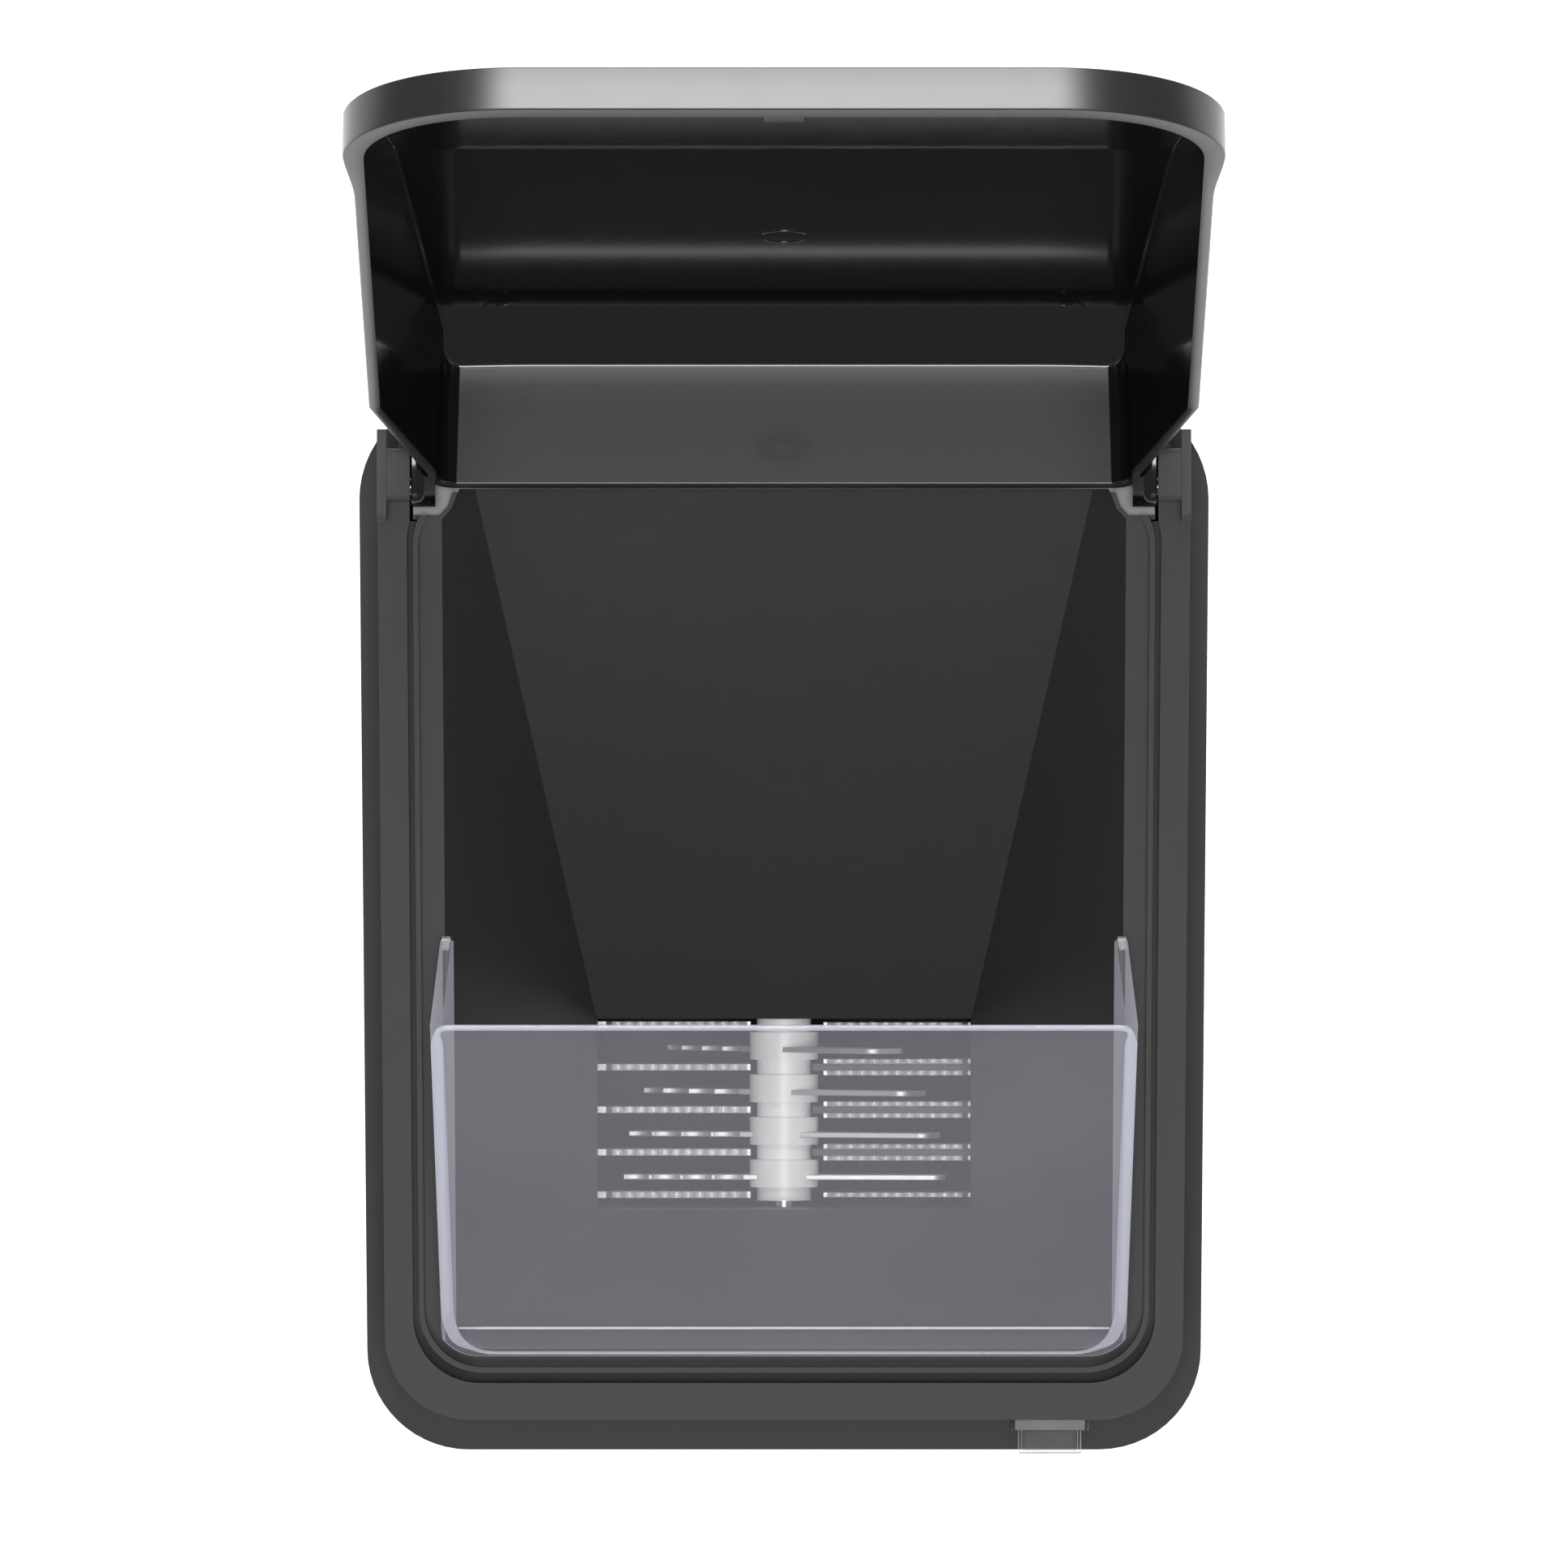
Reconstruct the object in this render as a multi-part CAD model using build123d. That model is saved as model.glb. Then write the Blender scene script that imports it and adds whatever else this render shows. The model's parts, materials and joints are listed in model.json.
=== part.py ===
"""Electric countertop ice crusher with a tilted top deck, a hinged domed lid and a pull-out ice bin.

Millimetres, +Z up, X to the user's right, the user stands at -Y.  The origin is the centre of the
foot print on the table.  The deck is the tilted plane through the lid's hinge axis: it falls towards
the front by DECK_TILT.  "u" is the distance from the hinge axis along the deck towards the front and
"w" is the height above the deck, square to it.
"""

import math
import os

from build123d import *

# ----------------------------------------------------------------------------- driving dimensions

BODY_WIDTH = 227.0
BODY_DEPTH = 285.0
BODY_CORNER = 27.5
SHELL_WALL = 2.5
FOOT_HEIGHT = 6.0
FOOT_RADIUS = 11.0
FOOT_INSET = 30.0
BOSS_HEIGHT = 10.5

DECK_TILT = 19.0
HINGE_HEIGHT = 409.0
HINGE_INSET = 24.5  # hinge axis to the rear of the body

SIDE_STEP = 5.5  # body side to the side of the top frame
FRONT_STEP = 9.2
REAR_STEP = 5.5
FRAME_HEIGHT = 24.0
FRAME_CORNER = 23.0
FRAME_WALL = 2.5
FRAME_FACE = 7.7  # width of the frame's top face at the sides
FRAME_FACE_FRONT = 10.1
GROOVE = 1.6
GROOVE_FRONT = 2.9
HOPPER_RIM = 1.4
LEDGE_DROP = 3.0
LEDGE_WIDTH = 6.3
LEDGE_WIDTH_FRONT = 5.3
HOPPER_WALL = 2.2
HOPPER_CORNER = 13.0

THROAT_WIDTH = 102.8
THROAT_SETBACK = 88.3  # front edge of the mouth to the rear edge of the throat
THROAT_RISE = 30.0  # throat above the shaft
THROAT_COLLAR = 3.5
PANEL_DROP = 22.0  # hinge axis to the top of the hopper's rear panel

LID_OVERHANG = 0.4  # lid side past the side of the frame
LID_TAIL = 8.0
LID_SHOULDER = 57.0
LID_CORNER = 31.6
LID_WALL = 2.6
LID_DRAFT = 12.0
LID_LIP = 2.4
LID_LIP_HEIGHT = 11.5
LID_LIP_RUN = 41.4  # length of side that the grip lip runs along
LID_GAP = 0.3
LID_CLOSING = 128.6
LID_REAR_PROFILE = [(0.6, 0.0), (1.0, 9.0), (4.0, 32.0), (20.0, 46.0), (188.0, 21.0)]
LID_BEND = 14.0
STOP_LENGTH = 7.5

PIN_RADIUS = 2.5
EAR_RADIUS = 5.3
EAR_WIDTH = 4.4
EAR_GAP = 0.2
KNUCKLE_WIDTH = 6.2
KNUCKLE_DEPTH = 14.0
KNUCKLE_HEIGHT = 20.0
KNUCKLE_DROP = 3.0  # middle of the knuckle below the hinge axis
HINGE_CORNER = 2.0
CHEEK_WIDTH = 2.6
CHEEK_DEPTH = 24.8
CHEEK_HEIGHT = 14.0
RUN_CLEAR = 0.05
MOVE_CLEAR = 0.3

GUARD_WALL = 2.2
GUARD_SIDE_WALL = 3.0
GUARD_COVER = 0.2  # throat's rear edge to the guard's rear edge
GUARD_RISE = 18.0
GUARD_NOSE = 7.8
GUARD_BEND_RISE = 3.5
GUARD_STEP = 2.2  # mouth's front edge to the guard's foot on the ledge
GUARD_TAIL_RUN = 22.5
GUARD_OVERLAP = 1.1  # guard's side past the mouth's side
GUARD_LEAN = 0.145
GUARD_CORNER = 12.0

SHAFT_HEIGHT = 240.0
SHAFT_RADIUS = 4.0
COMB_END_GAP = 2.0
COMB_FRONT_GAP = 3.3
COMB_PITCH = 11.75
COMB_ROWS = 5
TOOTH_PITCH = 3.24
TOOTH_DEPTH = 2.4
COMB_ABOVE = 7.0  # comb tips above the shaft
COMB_BELOW = 8.0
LEFT_COMB_GAP = 1.7  # spindle neck to the end of a left comb
RIGHT_COMB_GAP = 3.4
SPACER_GAP = 0.4
TIE_RADIUS = 1.5
TIE_INSET = 4.5
TIE_DROP = 1.0
COMB_THICK = 1.8
BITE_THICK = 1.3
CORE_THICK = 1.9
COMB_TAIL = 5.6
ARM_CLEAR = 6.9
ARM_WIDTH = 13.0
ARM_THICK = 1.5
ARM_OFFSET = 1.0
ARM_ANGLES = [49.5, 35.0, 20.5, 6.0]
SCALLOP_RADIUS = 5.2
SCALLOPS = 4
COLLAR_RADIUS = 9.5
COLLAR_LENGTH = 7.6
NECK_RADIUS = 7.5

CHAMBER_WALL = 3.0
CHAMBER_CLEAR = 0.5
BUSH_RADIUS = 8.0
BUSH_FLANGE = 10.5
CHUTE_REACH = 4.4  # throat's front edge to the chute's lip
CHUTE_FALL = 42.0
CHUTE_DROP = 5.0
CHUTE_WALL = 2.2
RIB_OUTER = 24.3
RIB_INNER = 20.9
RIB_HEIGHT = 5.0

PRESSURE_ANGLE = 25.0
BACKLASH = 0.16
LARGE_TEETH = 42
SMALL_TEETH = 14
CRUSHER_MODULE = 1.25
MOTOR_MODULE = 1.0
GEARBOX_WALL = 3.0
GEAR_FACE = 8.0
FAST_FACE = 6.0
GEARBOX_DEPTH = 30.3
LUG_RADIUS = 5.5

MOTOR_RADIUS = 38.0
MOTOR_WALL = 1.6
MOTOR_LENGTH = 75.0
BEARING_RADIUS = 7.0
BEARING_LENGTH = 5.5
ROTOR_RADIUS = 18.0
ROTOR_LENGTH = 36.0
STATOR_INNER = 18.5
MOTOR_SHAFT = 3.0
FAN_RADIUS = 31.0
FAN_WIDTH = 9.0
FAN_BLADES = 9

BIN_SIDE_GAP = 3.0
BIN_FLOOR_GAP = 2.5
BIN_TOP_GAP = 7.0
BIN_REAR_GAP = 4.7
BIN_CORNER = 8.0
BIN_SETBACK = 1.0
PORT_INSET = 28.5  # body side to the side of the bin's port
BIN_WALL = 2.4
BIN_FRONT_THICK = 4.0
BAY_SETBACK = 0.4
GRIP_REACH = 3.5
GRIP_WIDTH = 84.0
GRIP_HEIGHT = 5.0
GRIP_DROP = 10.0
SCOOP_WIDTH = 76.0
SCOOP_HEIGHT = 22.0
SCOOP_DEPTH = 2.6
BAY_WALL = 2.0
PORT_BOTTOM = 22.0
PORT_RISE = 2.0  # port's top above the chute's lip

SWITCH_INSET = 35.8  # frame side to the middle of the switch
SWITCH_BARREL_WIDTH = 18.0
SWITCH_BARREL_HEIGHT = 12.0
SWITCH_WIDTH = 21.0
SWITCH_HEIGHT = 15.0
SWITCH_RIM = 3.0
ROCKER_TILT = 8.0
ROCKER_INSET = 0.6
CAP_WIDTH = 17.0
CAP_HEIGHT = 13.0
CAP_REACH = 6.4
CAP_WALL = 0.9

INLET_INSET = 53.5
INLET_Z = 52.0
INLET_WIDTH = 28.0
INLET_HEIGHT = 21.0
SCREW_RADIUS = 2.0
SCREW_HEAD = 3.6

# ----------------------------------------------------------------------------- derived places

BODY_HALF = BODY_WIDTH / 2
BODY_FRONT = -BODY_DEPTH / 2
BODY_REAR = BODY_DEPTH / 2
HINGE_Y = BODY_REAR - HINGE_INSET
FRAME_HALF = BODY_HALF - SIDE_STEP
FRAME_FRONT = BODY_FRONT + FRONT_STEP
FRAME_REAR = BODY_REAR - REAR_STEP
FACE_HALF = FRAME_HALF - FRAME_FACE
FACE_FRONT = FRAME_FRONT + FRAME_FACE_FRONT
RIM_HALF = FACE_HALF - GROOVE
RIM_FRONT = FACE_FRONT + GROOVE_FRONT
LEDGE_HALF = RIM_HALF - HOPPER_RIM
LEDGE_FRONT = RIM_FRONT + HOPPER_RIM
MOUTH_HALF = LEDGE_HALF - LEDGE_WIDTH
MOUTH_FRONT = LEDGE_FRONT + LEDGE_WIDTH_FRONT
MOUTH_REAR = HINGE_Y - 0.4
HOPPER_REAR = MOUTH_REAR + HOPPER_WALL
LEDGE_PLATE = 2.5
SEAT = LEDGE_DROP + LEDGE_PLATE
THROAT_HALF = THROAT_WIDTH / 2
REAR_DECK = HINGE_HEIGHT - 16.0
RECESS_FLOOR = HINGE_HEIGHT - 9.0
EAR_INNER = FRAME_HALF - CHEEK_WIDTH - KNUCKLE_WIDTH - EAR_GAP - EAR_WIDTH
LID_TAIL_HALF = EAR_INNER + 0.2
RECESS_HALF = EAR_INNER + EAR_WIDTH + 0.5
BASE_TOP = FOOT_HEIGHT + 3.0
LID_HALF_WIDTH = FRAME_HALF + LID_OVERHANG
GUARD_FRONT = MOUTH_FRONT - GUARD_STEP
GUARD_BEND = GUARD_FRONT + GUARD_NOSE
GUARD_HALF = MOUTH_HALF + GUARD_OVERLAP
THROAT_REAR = MOUTH_FRONT + THROAT_SETBACK
THROAT_HEIGHT = SHAFT_HEIGHT + THROAT_RISE
PANEL_TOP = HINGE_HEIGHT - PANEL_DROP
GUARD_REAR = THROAT_REAR - GUARD_COVER
GUARD_TAIL = GUARD_REAR + GUARD_TAIL_RUN
ARM_REACH = THROAT_HALF - ARM_CLEAR
CHAMBER_BOTTOM = SHAFT_HEIGHT - ARM_REACH - CHAMBER_CLEAR
CHUTE_TOP_Z = CHAMBER_BOTTOM - CHUTE_DROP
CHUTE_LIP_Z = CHUTE_TOP_Z - CHUTE_FALL
COMB_TOP = SHAFT_HEIGHT + COMB_ABOVE
COMB_BOTTOM = SHAFT_HEIGHT - COMB_BELOW
COMB_TEETH = int((THROAT_HALF - NECK_RADIUS - RIGHT_COMB_GAP - 1.0) / TOOTH_PITCH)
TIE_X = THROAT_HALF + CHAMBER_WALL + TIE_INSET
GEARBOX_FRONT = THROAT_REAR + CHAMBER_WALL
GEARBOX_REAR = GEARBOX_FRONT + GEARBOX_DEPTH
MOTOR_REAR = GEARBOX_REAR + MOTOR_LENGTH
MOTOR_MIDDLE = (GEARBOX_REAR + MOTOR_REAR) / 2
PORT_HALF = BODY_HALF - PORT_INSET
PORT_TOP = CHUTE_LIP_Z + PORT_RISE
BIN_HALF = PORT_HALF - BIN_SIDE_GAP
BIN_FLOOR = PORT_BOTTOM + BIN_FLOOR_GAP
BIN_TOP = PORT_TOP - BIN_TOP_GAP
BIN_REAR = THROAT_REAR - BIN_REAR_GAP
BAY_FRONT = BODY_FRONT + SHELL_WALL + BAY_SETBACK
BIN_FRONT = BODY_FRONT + SHELL_WALL - BIN_SETBACK
SWITCH_X = FRAME_HALF - SWITCH_INSET
INLET_X = BODY_HALF - INLET_INSET
IDLER_HEIGHT = SHAFT_HEIGHT - CRUSHER_MODULE * (LARGE_TEETH + SMALL_TEETH) / 2
MOTOR_HEIGHT = IDLER_HEIGHT - MOTOR_MODULE * (LARGE_TEETH + SMALL_TEETH) / 2
SLOW_PLANE = GEARBOX_FRONT + GEARBOX_WALL + 3.0
FAST_PLANE = SLOW_PLANE + GEAR_FACE + 3.0
COMB_FIRST = THROAT_REAR - COMB_END_GAP
COMB_PLANES = [COMB_FIRST - COMB_PITCH * row for row in range(COMB_ROWS)]
THROAT_FRONT = COMB_PLANES[-1] - COMB_FRONT_GAP
CHUTE_LIP_Y = THROAT_FRONT - CHUTE_REACH
ARM_PLANES = [plane - COMB_PITCH / 2 - ARM_OFFSET for plane in COMB_PLANES[:-1]]

TILT_SIN = math.sin(math.radians(DECK_TILT))
TILT_COS = math.cos(math.radians(DECK_TILT))
LID_LENGTH = (HINGE_Y - FRAME_FRONT) / TILT_COS - LID_LIP
LID_PROFILE = LID_REAR_PROFILE + [(LID_LENGTH - LID_WALL, LID_WALL)]
LID_LIP_START = LID_LENGTH - LID_LIP_RUN
DECK = Plane(origin=(0, HINGE_Y, HINGE_HEIGHT), x_dir=(1, 0, 0), z_dir=(0, -TILT_SIN, TILT_COS)).location
OPEN_LID = Pos(0, HINGE_Y, HINGE_HEIGHT) * Rot(-LID_CLOSING, 0, 0) * Pos(0, -HINGE_Y, -HINGE_HEIGHT) * DECK
BIG = 900.0


def deck_z(y, w=0.0):
    """Height of the point at depth y that lies w above the deck plane."""
    return HINGE_HEIGHT - (HINGE_Y - y) * TILT_SIN / TILT_COS + w / TILT_COS


def save(name, shape):
    """Write one node as a STEP file."""
    export_step(shape, f"parts/{name}.step")


def block(x0, x1, y0, y1, z0, z1):
    """Box from its limits along the three axes."""
    return Pos((x0 + x1) / 2, (y0 + y1) / 2, (z0 + z1) / 2) * Box(x1 - x0, y1 - y0, z1 - z0)


def column(half, front, rear, corner, z0, z1):
    """Upright prism on a rounded rectangle, centred in x."""
    outline = RectangleRounded(2 * half, rear - front, corner)
    return Pos(0, (front + rear) / 2, z0) * extrude(outline, z1 - z0)


def under(shape, w):
    """The part of a shape below the plane that lies w above the deck."""
    return shape - DECK * Pos(0, 0, w + BIG / 2) * Box(BIG, BIG, BIG)


def over(shape, w):
    """The part of a shape above the plane that lies w above the deck."""
    return shape - DECK * Pos(0, 0, w - BIG / 2) * Box(BIG, BIG, BIG)


def along_y(sketch, y0, y1):
    """Extrude a sketch, drawn with x to the right and z upwards, from y0 to y1."""
    return Plane(origin=(0, y1, 0), x_dir=(1, 0, 0), z_dir=(0, -1, 0)).location * extrude(sketch, y1 - y0)


def along_x(sketch, x0, x1):
    """Extrude a sketch, drawn with y to the right and z upwards, from x0 to x1."""
    return Plane(origin=(x0, 0, 0), x_dir=(0, 1, 0), z_dir=(1, 0, 0)).location * extrude(sketch, x1 - x0)


def rod(radius, y0, y1, x=0.0, z=0.0):
    """Round bar along y."""
    return Pos(x, (y0 + y1) / 2, z) * Rot(90, 0, 0) * Cylinder(radius, y1 - y0)


def post(radius, z0, z1, x=0.0, y=0.0):
    """Round bar along z."""
    return Pos(x, y, (z0 + z1) / 2) * Cylinder(radius, z1 - z0)


def pin(radius, x0, x1, y, z):
    """Round bar along x."""
    return Pos((x0 + x1) / 2, y, z) * Rot(0, 90, 0) * Cylinder(radius, x1 - x0)


def mirrored(shape):
    """The shape reflected to the other side of the middle plane."""
    return mirror(shape, Plane.YZ)


def group(shapes):
    """Several solids as one node."""
    return Compound(children=[solid for shape in shapes for solid in shape.solids()])


# ----------------------------------------------------------------------------- lower housing


def lower_housing():
    """Main shell with its slanted rim, bin port, inlet cut-out, vents and screw bosses."""
    height = HINGE_HEIGHT + 40
    outer = column(BODY_HALF, BODY_FRONT, BODY_REAR, BODY_CORNER, FOOT_HEIGHT, height)
    inner = column(
        BODY_HALF - SHELL_WALL,
        BODY_FRONT + SHELL_WALL,
        BODY_REAR - SHELL_WALL,
        BODY_CORNER - SHELL_WALL,
        FOOT_HEIGHT,
        height,
    )
    shell = under(outer - inner, -FRAME_HEIGHT)
    throat = column(
        FRAME_HALF - 4, FRAME_FRONT + 4, FRAME_REAR - 4, FRAME_CORNER - 4, FOOT_HEIGHT, height
    )
    rim = over(under(outer - throat, -FRAME_HEIGHT), -FRAME_HEIGHT - SHELL_WALL)
    shell += rim
    for x, y in foot_places():
        boss = post(5.0, BASE_TOP, BASE_TOP + BOSS_HEIGHT, x, y)
        web_end = math.copysign(BODY_HALF - SHELL_WALL / 2, x)
        web = block(min(x, web_end), max(x, web_end), y - 1, y + 1, BASE_TOP, BASE_TOP + BOSS_HEIGHT)
        shell += boss + web
        shell -= post(SCREW_RADIUS, BASE_TOP - 1, BASE_TOP + BOSS_HEIGHT - 1, x, y)
    port = along_y(
        Pos(0, (PORT_BOTTOM + PORT_TOP) / 2)
        * RectangleRounded(2 * PORT_HALF, PORT_TOP - PORT_BOTTOM, 5.0),
        BODY_FRONT - 5,
        BAY_FRONT,
    )
    shell -= port
    inlet = block(
        INLET_X - INLET_WIDTH / 2,
        INLET_X + INLET_WIDTH / 2,
        BODY_REAR - 8,
        BODY_REAR + 5,
        INLET_Z - INLET_HEIGHT / 2,
        INLET_Z + INLET_HEIGHT / 2,
    )
    shell -= inlet
    for row in range(9):
        for side in (-30.0, 30.0):
            slot = SlotOverall(44, 3.2)
            z = MOTOR_HEIGHT - 36 + 9 * row
            shell -= along_y(Pos(side, z) * slot, BODY_REAR - 8, BODY_REAR + 5)
    return shell


def foot_places():
    """Centres of the four feet."""
    x = BODY_HALF - FOOT_INSET
    y = BODY_DEPTH / 2 - FOOT_INSET
    return [(-x, -y), (x, -y), (-x, y), (x, y)]


def base_plate():
    """Bottom cover inside the shell, with intake slots and screw holes."""
    gap = 0.2
    plate = column(
        BODY_HALF - SHELL_WALL - gap,
        BODY_FRONT + SHELL_WALL + gap,
        BODY_REAR - SHELL_WALL - gap,
        BODY_CORNER - SHELL_WALL - gap,
        FOOT_HEIGHT,
        BASE_TOP,
    )
    for row in range(7):
        slot = extrude(SlotOverall(90, 4), 10, both=True)
        plate -= Pos(0, GEARBOX_REAR + 12 + 11 * row, FOOT_HEIGHT + 1) * slot
    for x, y in foot_places():
        plate -= post(SCREW_RADIUS, FOOT_HEIGHT - 1, BASE_TOP + 1, x, y)
    return plate


def rubber_feet():
    """Four feet, each with a screw well."""
    feet = []
    for x, y in foot_places():
        foot = post(FOOT_RADIUS, 0, FOOT_HEIGHT, x, y)
        foot = chamfer(foot.edges().group_by(Axis.Z)[0], 1.0)
        foot -= post(SCREW_HEAD + 0.6, -1, FOOT_HEIGHT - 2, x, y)
        foot -= post(SCREW_RADIUS, 0, FOOT_HEIGHT + 1, x, y)
        feet.append(foot)
    return group(feet)


def foot_screws():
    """Screws that hold the feet and the base plate to the shell's bosses."""
    screws = []
    for x, y in foot_places():
        head = post(SCREW_HEAD, FOOT_HEIGHT - 4.4, FOOT_HEIGHT - 2, x, y)
        screws.append(head + post(SCREW_RADIUS, FOOT_HEIGHT - 3, BASE_TOP + BOSS_HEIGHT - 2, x, y))
    return group(screws)


def inlet_socket():
    """Three-pin appliance inlet in the lower rear wall."""
    flange = block(
        INLET_X - INLET_WIDTH / 2 - 5,
        INLET_X + INLET_WIDTH / 2 + 5,
        BODY_REAR,
        BODY_REAR + 2.5,
        INLET_Z - INLET_HEIGHT / 2 - 2,
        INLET_Z + INLET_HEIGHT / 2 + 2,
    )
    barrel = block(
        INLET_X - INLET_WIDTH / 2,
        INLET_X + INLET_WIDTH / 2,
        BODY_REAR - 18,
        BODY_REAR,
        INLET_Z - INLET_HEIGHT / 2,
        INLET_Z + INLET_HEIGHT / 2,
    )
    well = block(
        INLET_X - INLET_WIDTH / 2 + 2,
        INLET_X + INLET_WIDTH / 2 - 2,
        BODY_REAR - 15,
        BODY_REAR + 4,
        INLET_Z - INLET_HEIGHT / 2 + 2,
        INLET_Z + INLET_HEIGHT / 2 - 2,
    )
    socket = flange + barrel - well
    for dx, dz in ((-7, -1.5), (0, 2.5), (7, -1.5)):
        blade = block(INLET_X + dx - 1, INLET_X + dx + 1, BODY_REAR - 16, BODY_REAR - 2,
                      INLET_Z + dz - 2.5, INLET_Z + dz + 2.5)
        socket += blade
    return socket


# ----------------------------------------------------------------------------- top frame


def top_frame():
    """Raised frame on the shell's rim: outer wall, tilted face, inner skirt and the hopper's seat."""
    low = deck_z(FRAME_FRONT, -FRAME_HEIGHT) - 5
    high = HINGE_HEIGHT + 40
    outer = column(FRAME_HALF, FRAME_FRONT, FRAME_REAR, FRAME_CORNER, low, high)
    hollow = column(
        FRAME_HALF - FRAME_WALL,
        FRAME_FRONT + FRAME_WALL,
        FRAME_REAR - FRAME_WALL,
        FRAME_CORNER - FRAME_WALL,
        low,
        high,
    )
    rear_edge = HOPPER_REAR + GROOVE
    inside = column(FACE_HALF, FACE_FRONT, rear_edge, HOPPER_CORNER + 5, low, high)
    skirt = column(FACE_HALF + 2, FACE_FRONT - 2, rear_edge + 2, HOPPER_CORNER + 7, low, high)
    seat_hole = column(MOUTH_HALF + 3.6, MOUTH_FRONT - 3.6, HOPPER_REAR + 1, HOPPER_CORNER + 1, low, high)
    wall = over(under(outer - hollow, 0), -FRAME_HEIGHT)
    face = over(under(outer - inside, 0), -FRAME_WALL)
    lining = over(under(skirt - inside, 0), -SEAT - 3)
    seat = over(under(skirt - seat_hole, -SEAT), -SEAT - 3)
    frame = wall + face + lining + seat
    middle = RECESS_HALF
    frame -= block(-middle, middle, HINGE_Y - 9, FRAME_REAR + 1, REAR_DECK, high)
    deck_floor = block(-middle - 2, middle + 2, HOPPER_REAR + 0.3, FRAME_REAR - FRAME_WALL / 2,
                       REAR_DECK - FRAME_WALL, REAR_DECK)
    frame += deck_floor
    for side in (-1, 1):
        x0, x1 = sorted((side * middle, side * (middle + 2)))
        cheek = block(x0, x1, HOPPER_REAR + 0.3, FRAME_REAR - FRAME_WALL / 2, REAR_DECK - FRAME_WALL, high)
        frame += under(cheek, 0)
    for x in (-60.0, 60.0):
        frame += lid_stop(x)
    frame -= pin(PIN_RADIUS + RUN_CLEAR, -FRAME_HALF - 5, FRAME_HALF + 5, HINGE_Y, HINGE_HEIGHT)
    frame -= switch_body(0.1)
    return frame


def ear_space(extra):
    """Room for one of the lid's ears, above the floor of its corner recess."""
    x1 = RECESS_HALF + extra
    outline = Polyline(
        (x1, HINGE_Y - 7.4 - extra),
        (MOUTH_HALF + 0.6, HINGE_Y - 7.4 - extra),
        (MOUTH_HALF - 1.6 - extra, HINGE_Y - 5.0),
        (MOUTH_HALF - 3.4 - extra, HINGE_Y),
        (MOUTH_HALF - 3.4 - extra, HINGE_Y + 8),
        (x1, HINGE_Y + 8),
        (x1, HINGE_Y - 7.4 - extra),
    )
    return Pos(0, 0, RECESS_FLOOR - extra) * extrude(make_face(outline), 60)


def lid_stop(x):
    """Pad that the open lid leans on, just short of the lid's rear wall."""
    u0, w0 = LID_PROFILE[1]
    u1, w1 = LID_PROFILE[2]
    back = LID_WALL + LID_GAP
    slope = (u1 - u0) / (w1 - w0)
    lower = open_point(u0 - back, w0)
    upper = open_point(u0 - back + slope * STOP_LENGTH, w0 + STOP_LENGTH)
    top = Polyline(lower, upper, (upper[0], REAR_DECK - 1), (lower[0], REAR_DECK - 1), lower)
    return along_x(make_face(top), x - 7, x + 7)


def open_point(u, w):
    """Depth and height of a point of the lid, given along and above the deck, with the lid open."""
    angle = math.radians(180 + DECK_TILT - LID_CLOSING)
    y = HINGE_Y + u * math.cos(angle) + w * math.sin(angle)
    z = HINGE_HEIGHT + u * math.sin(angle) - w * math.cos(angle)
    return (y, z)


def hinge_block(side):
    """Knuckle and outer cheek that carry one hinge pin."""
    bore = pin(PIN_RADIUS + RUN_CLEAR, 80, FRAME_HALF + 5, HINGE_Y, HINGE_HEIGHT)
    inner = FRAME_HALF - CHEEK_WIDTH - KNUCKLE_WIDTH
    outline = Pos(HINGE_Y + 3.1, HINGE_HEIGHT - KNUCKLE_DROP) * RectangleRounded(KNUCKLE_DEPTH, KNUCKLE_HEIGHT, HINGE_CORNER)
    knuckle = along_x(outline, inner, FRAME_HALF - CHEEK_WIDTH)
    cheek_outline = Pos(HINGE_Y + 3.3, HINGE_HEIGHT - 1) * RectangleRounded(CHEEK_DEPTH, CHEEK_HEIGHT, HINGE_CORNER)
    cheek = along_x(cheek_outline, FRAME_HALF - CHEEK_WIDTH, FRAME_HALF)
    body = over(knuckle, 0.0) + over(cheek, 0.0) - bore
    return mirrored(body) if side < 0 else body


def hinge_pins():
    """Steel pins, one per side, pressed into the knuckles and free in the lid's ears."""
    right = pin(PIN_RADIUS, EAR_INNER + 0.2, FRAME_HALF - 0.2, HINGE_Y, HINGE_HEIGHT)
    return group([right, mirrored(right)])


# ----------------------------------------------------------------------------- hopper


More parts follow.
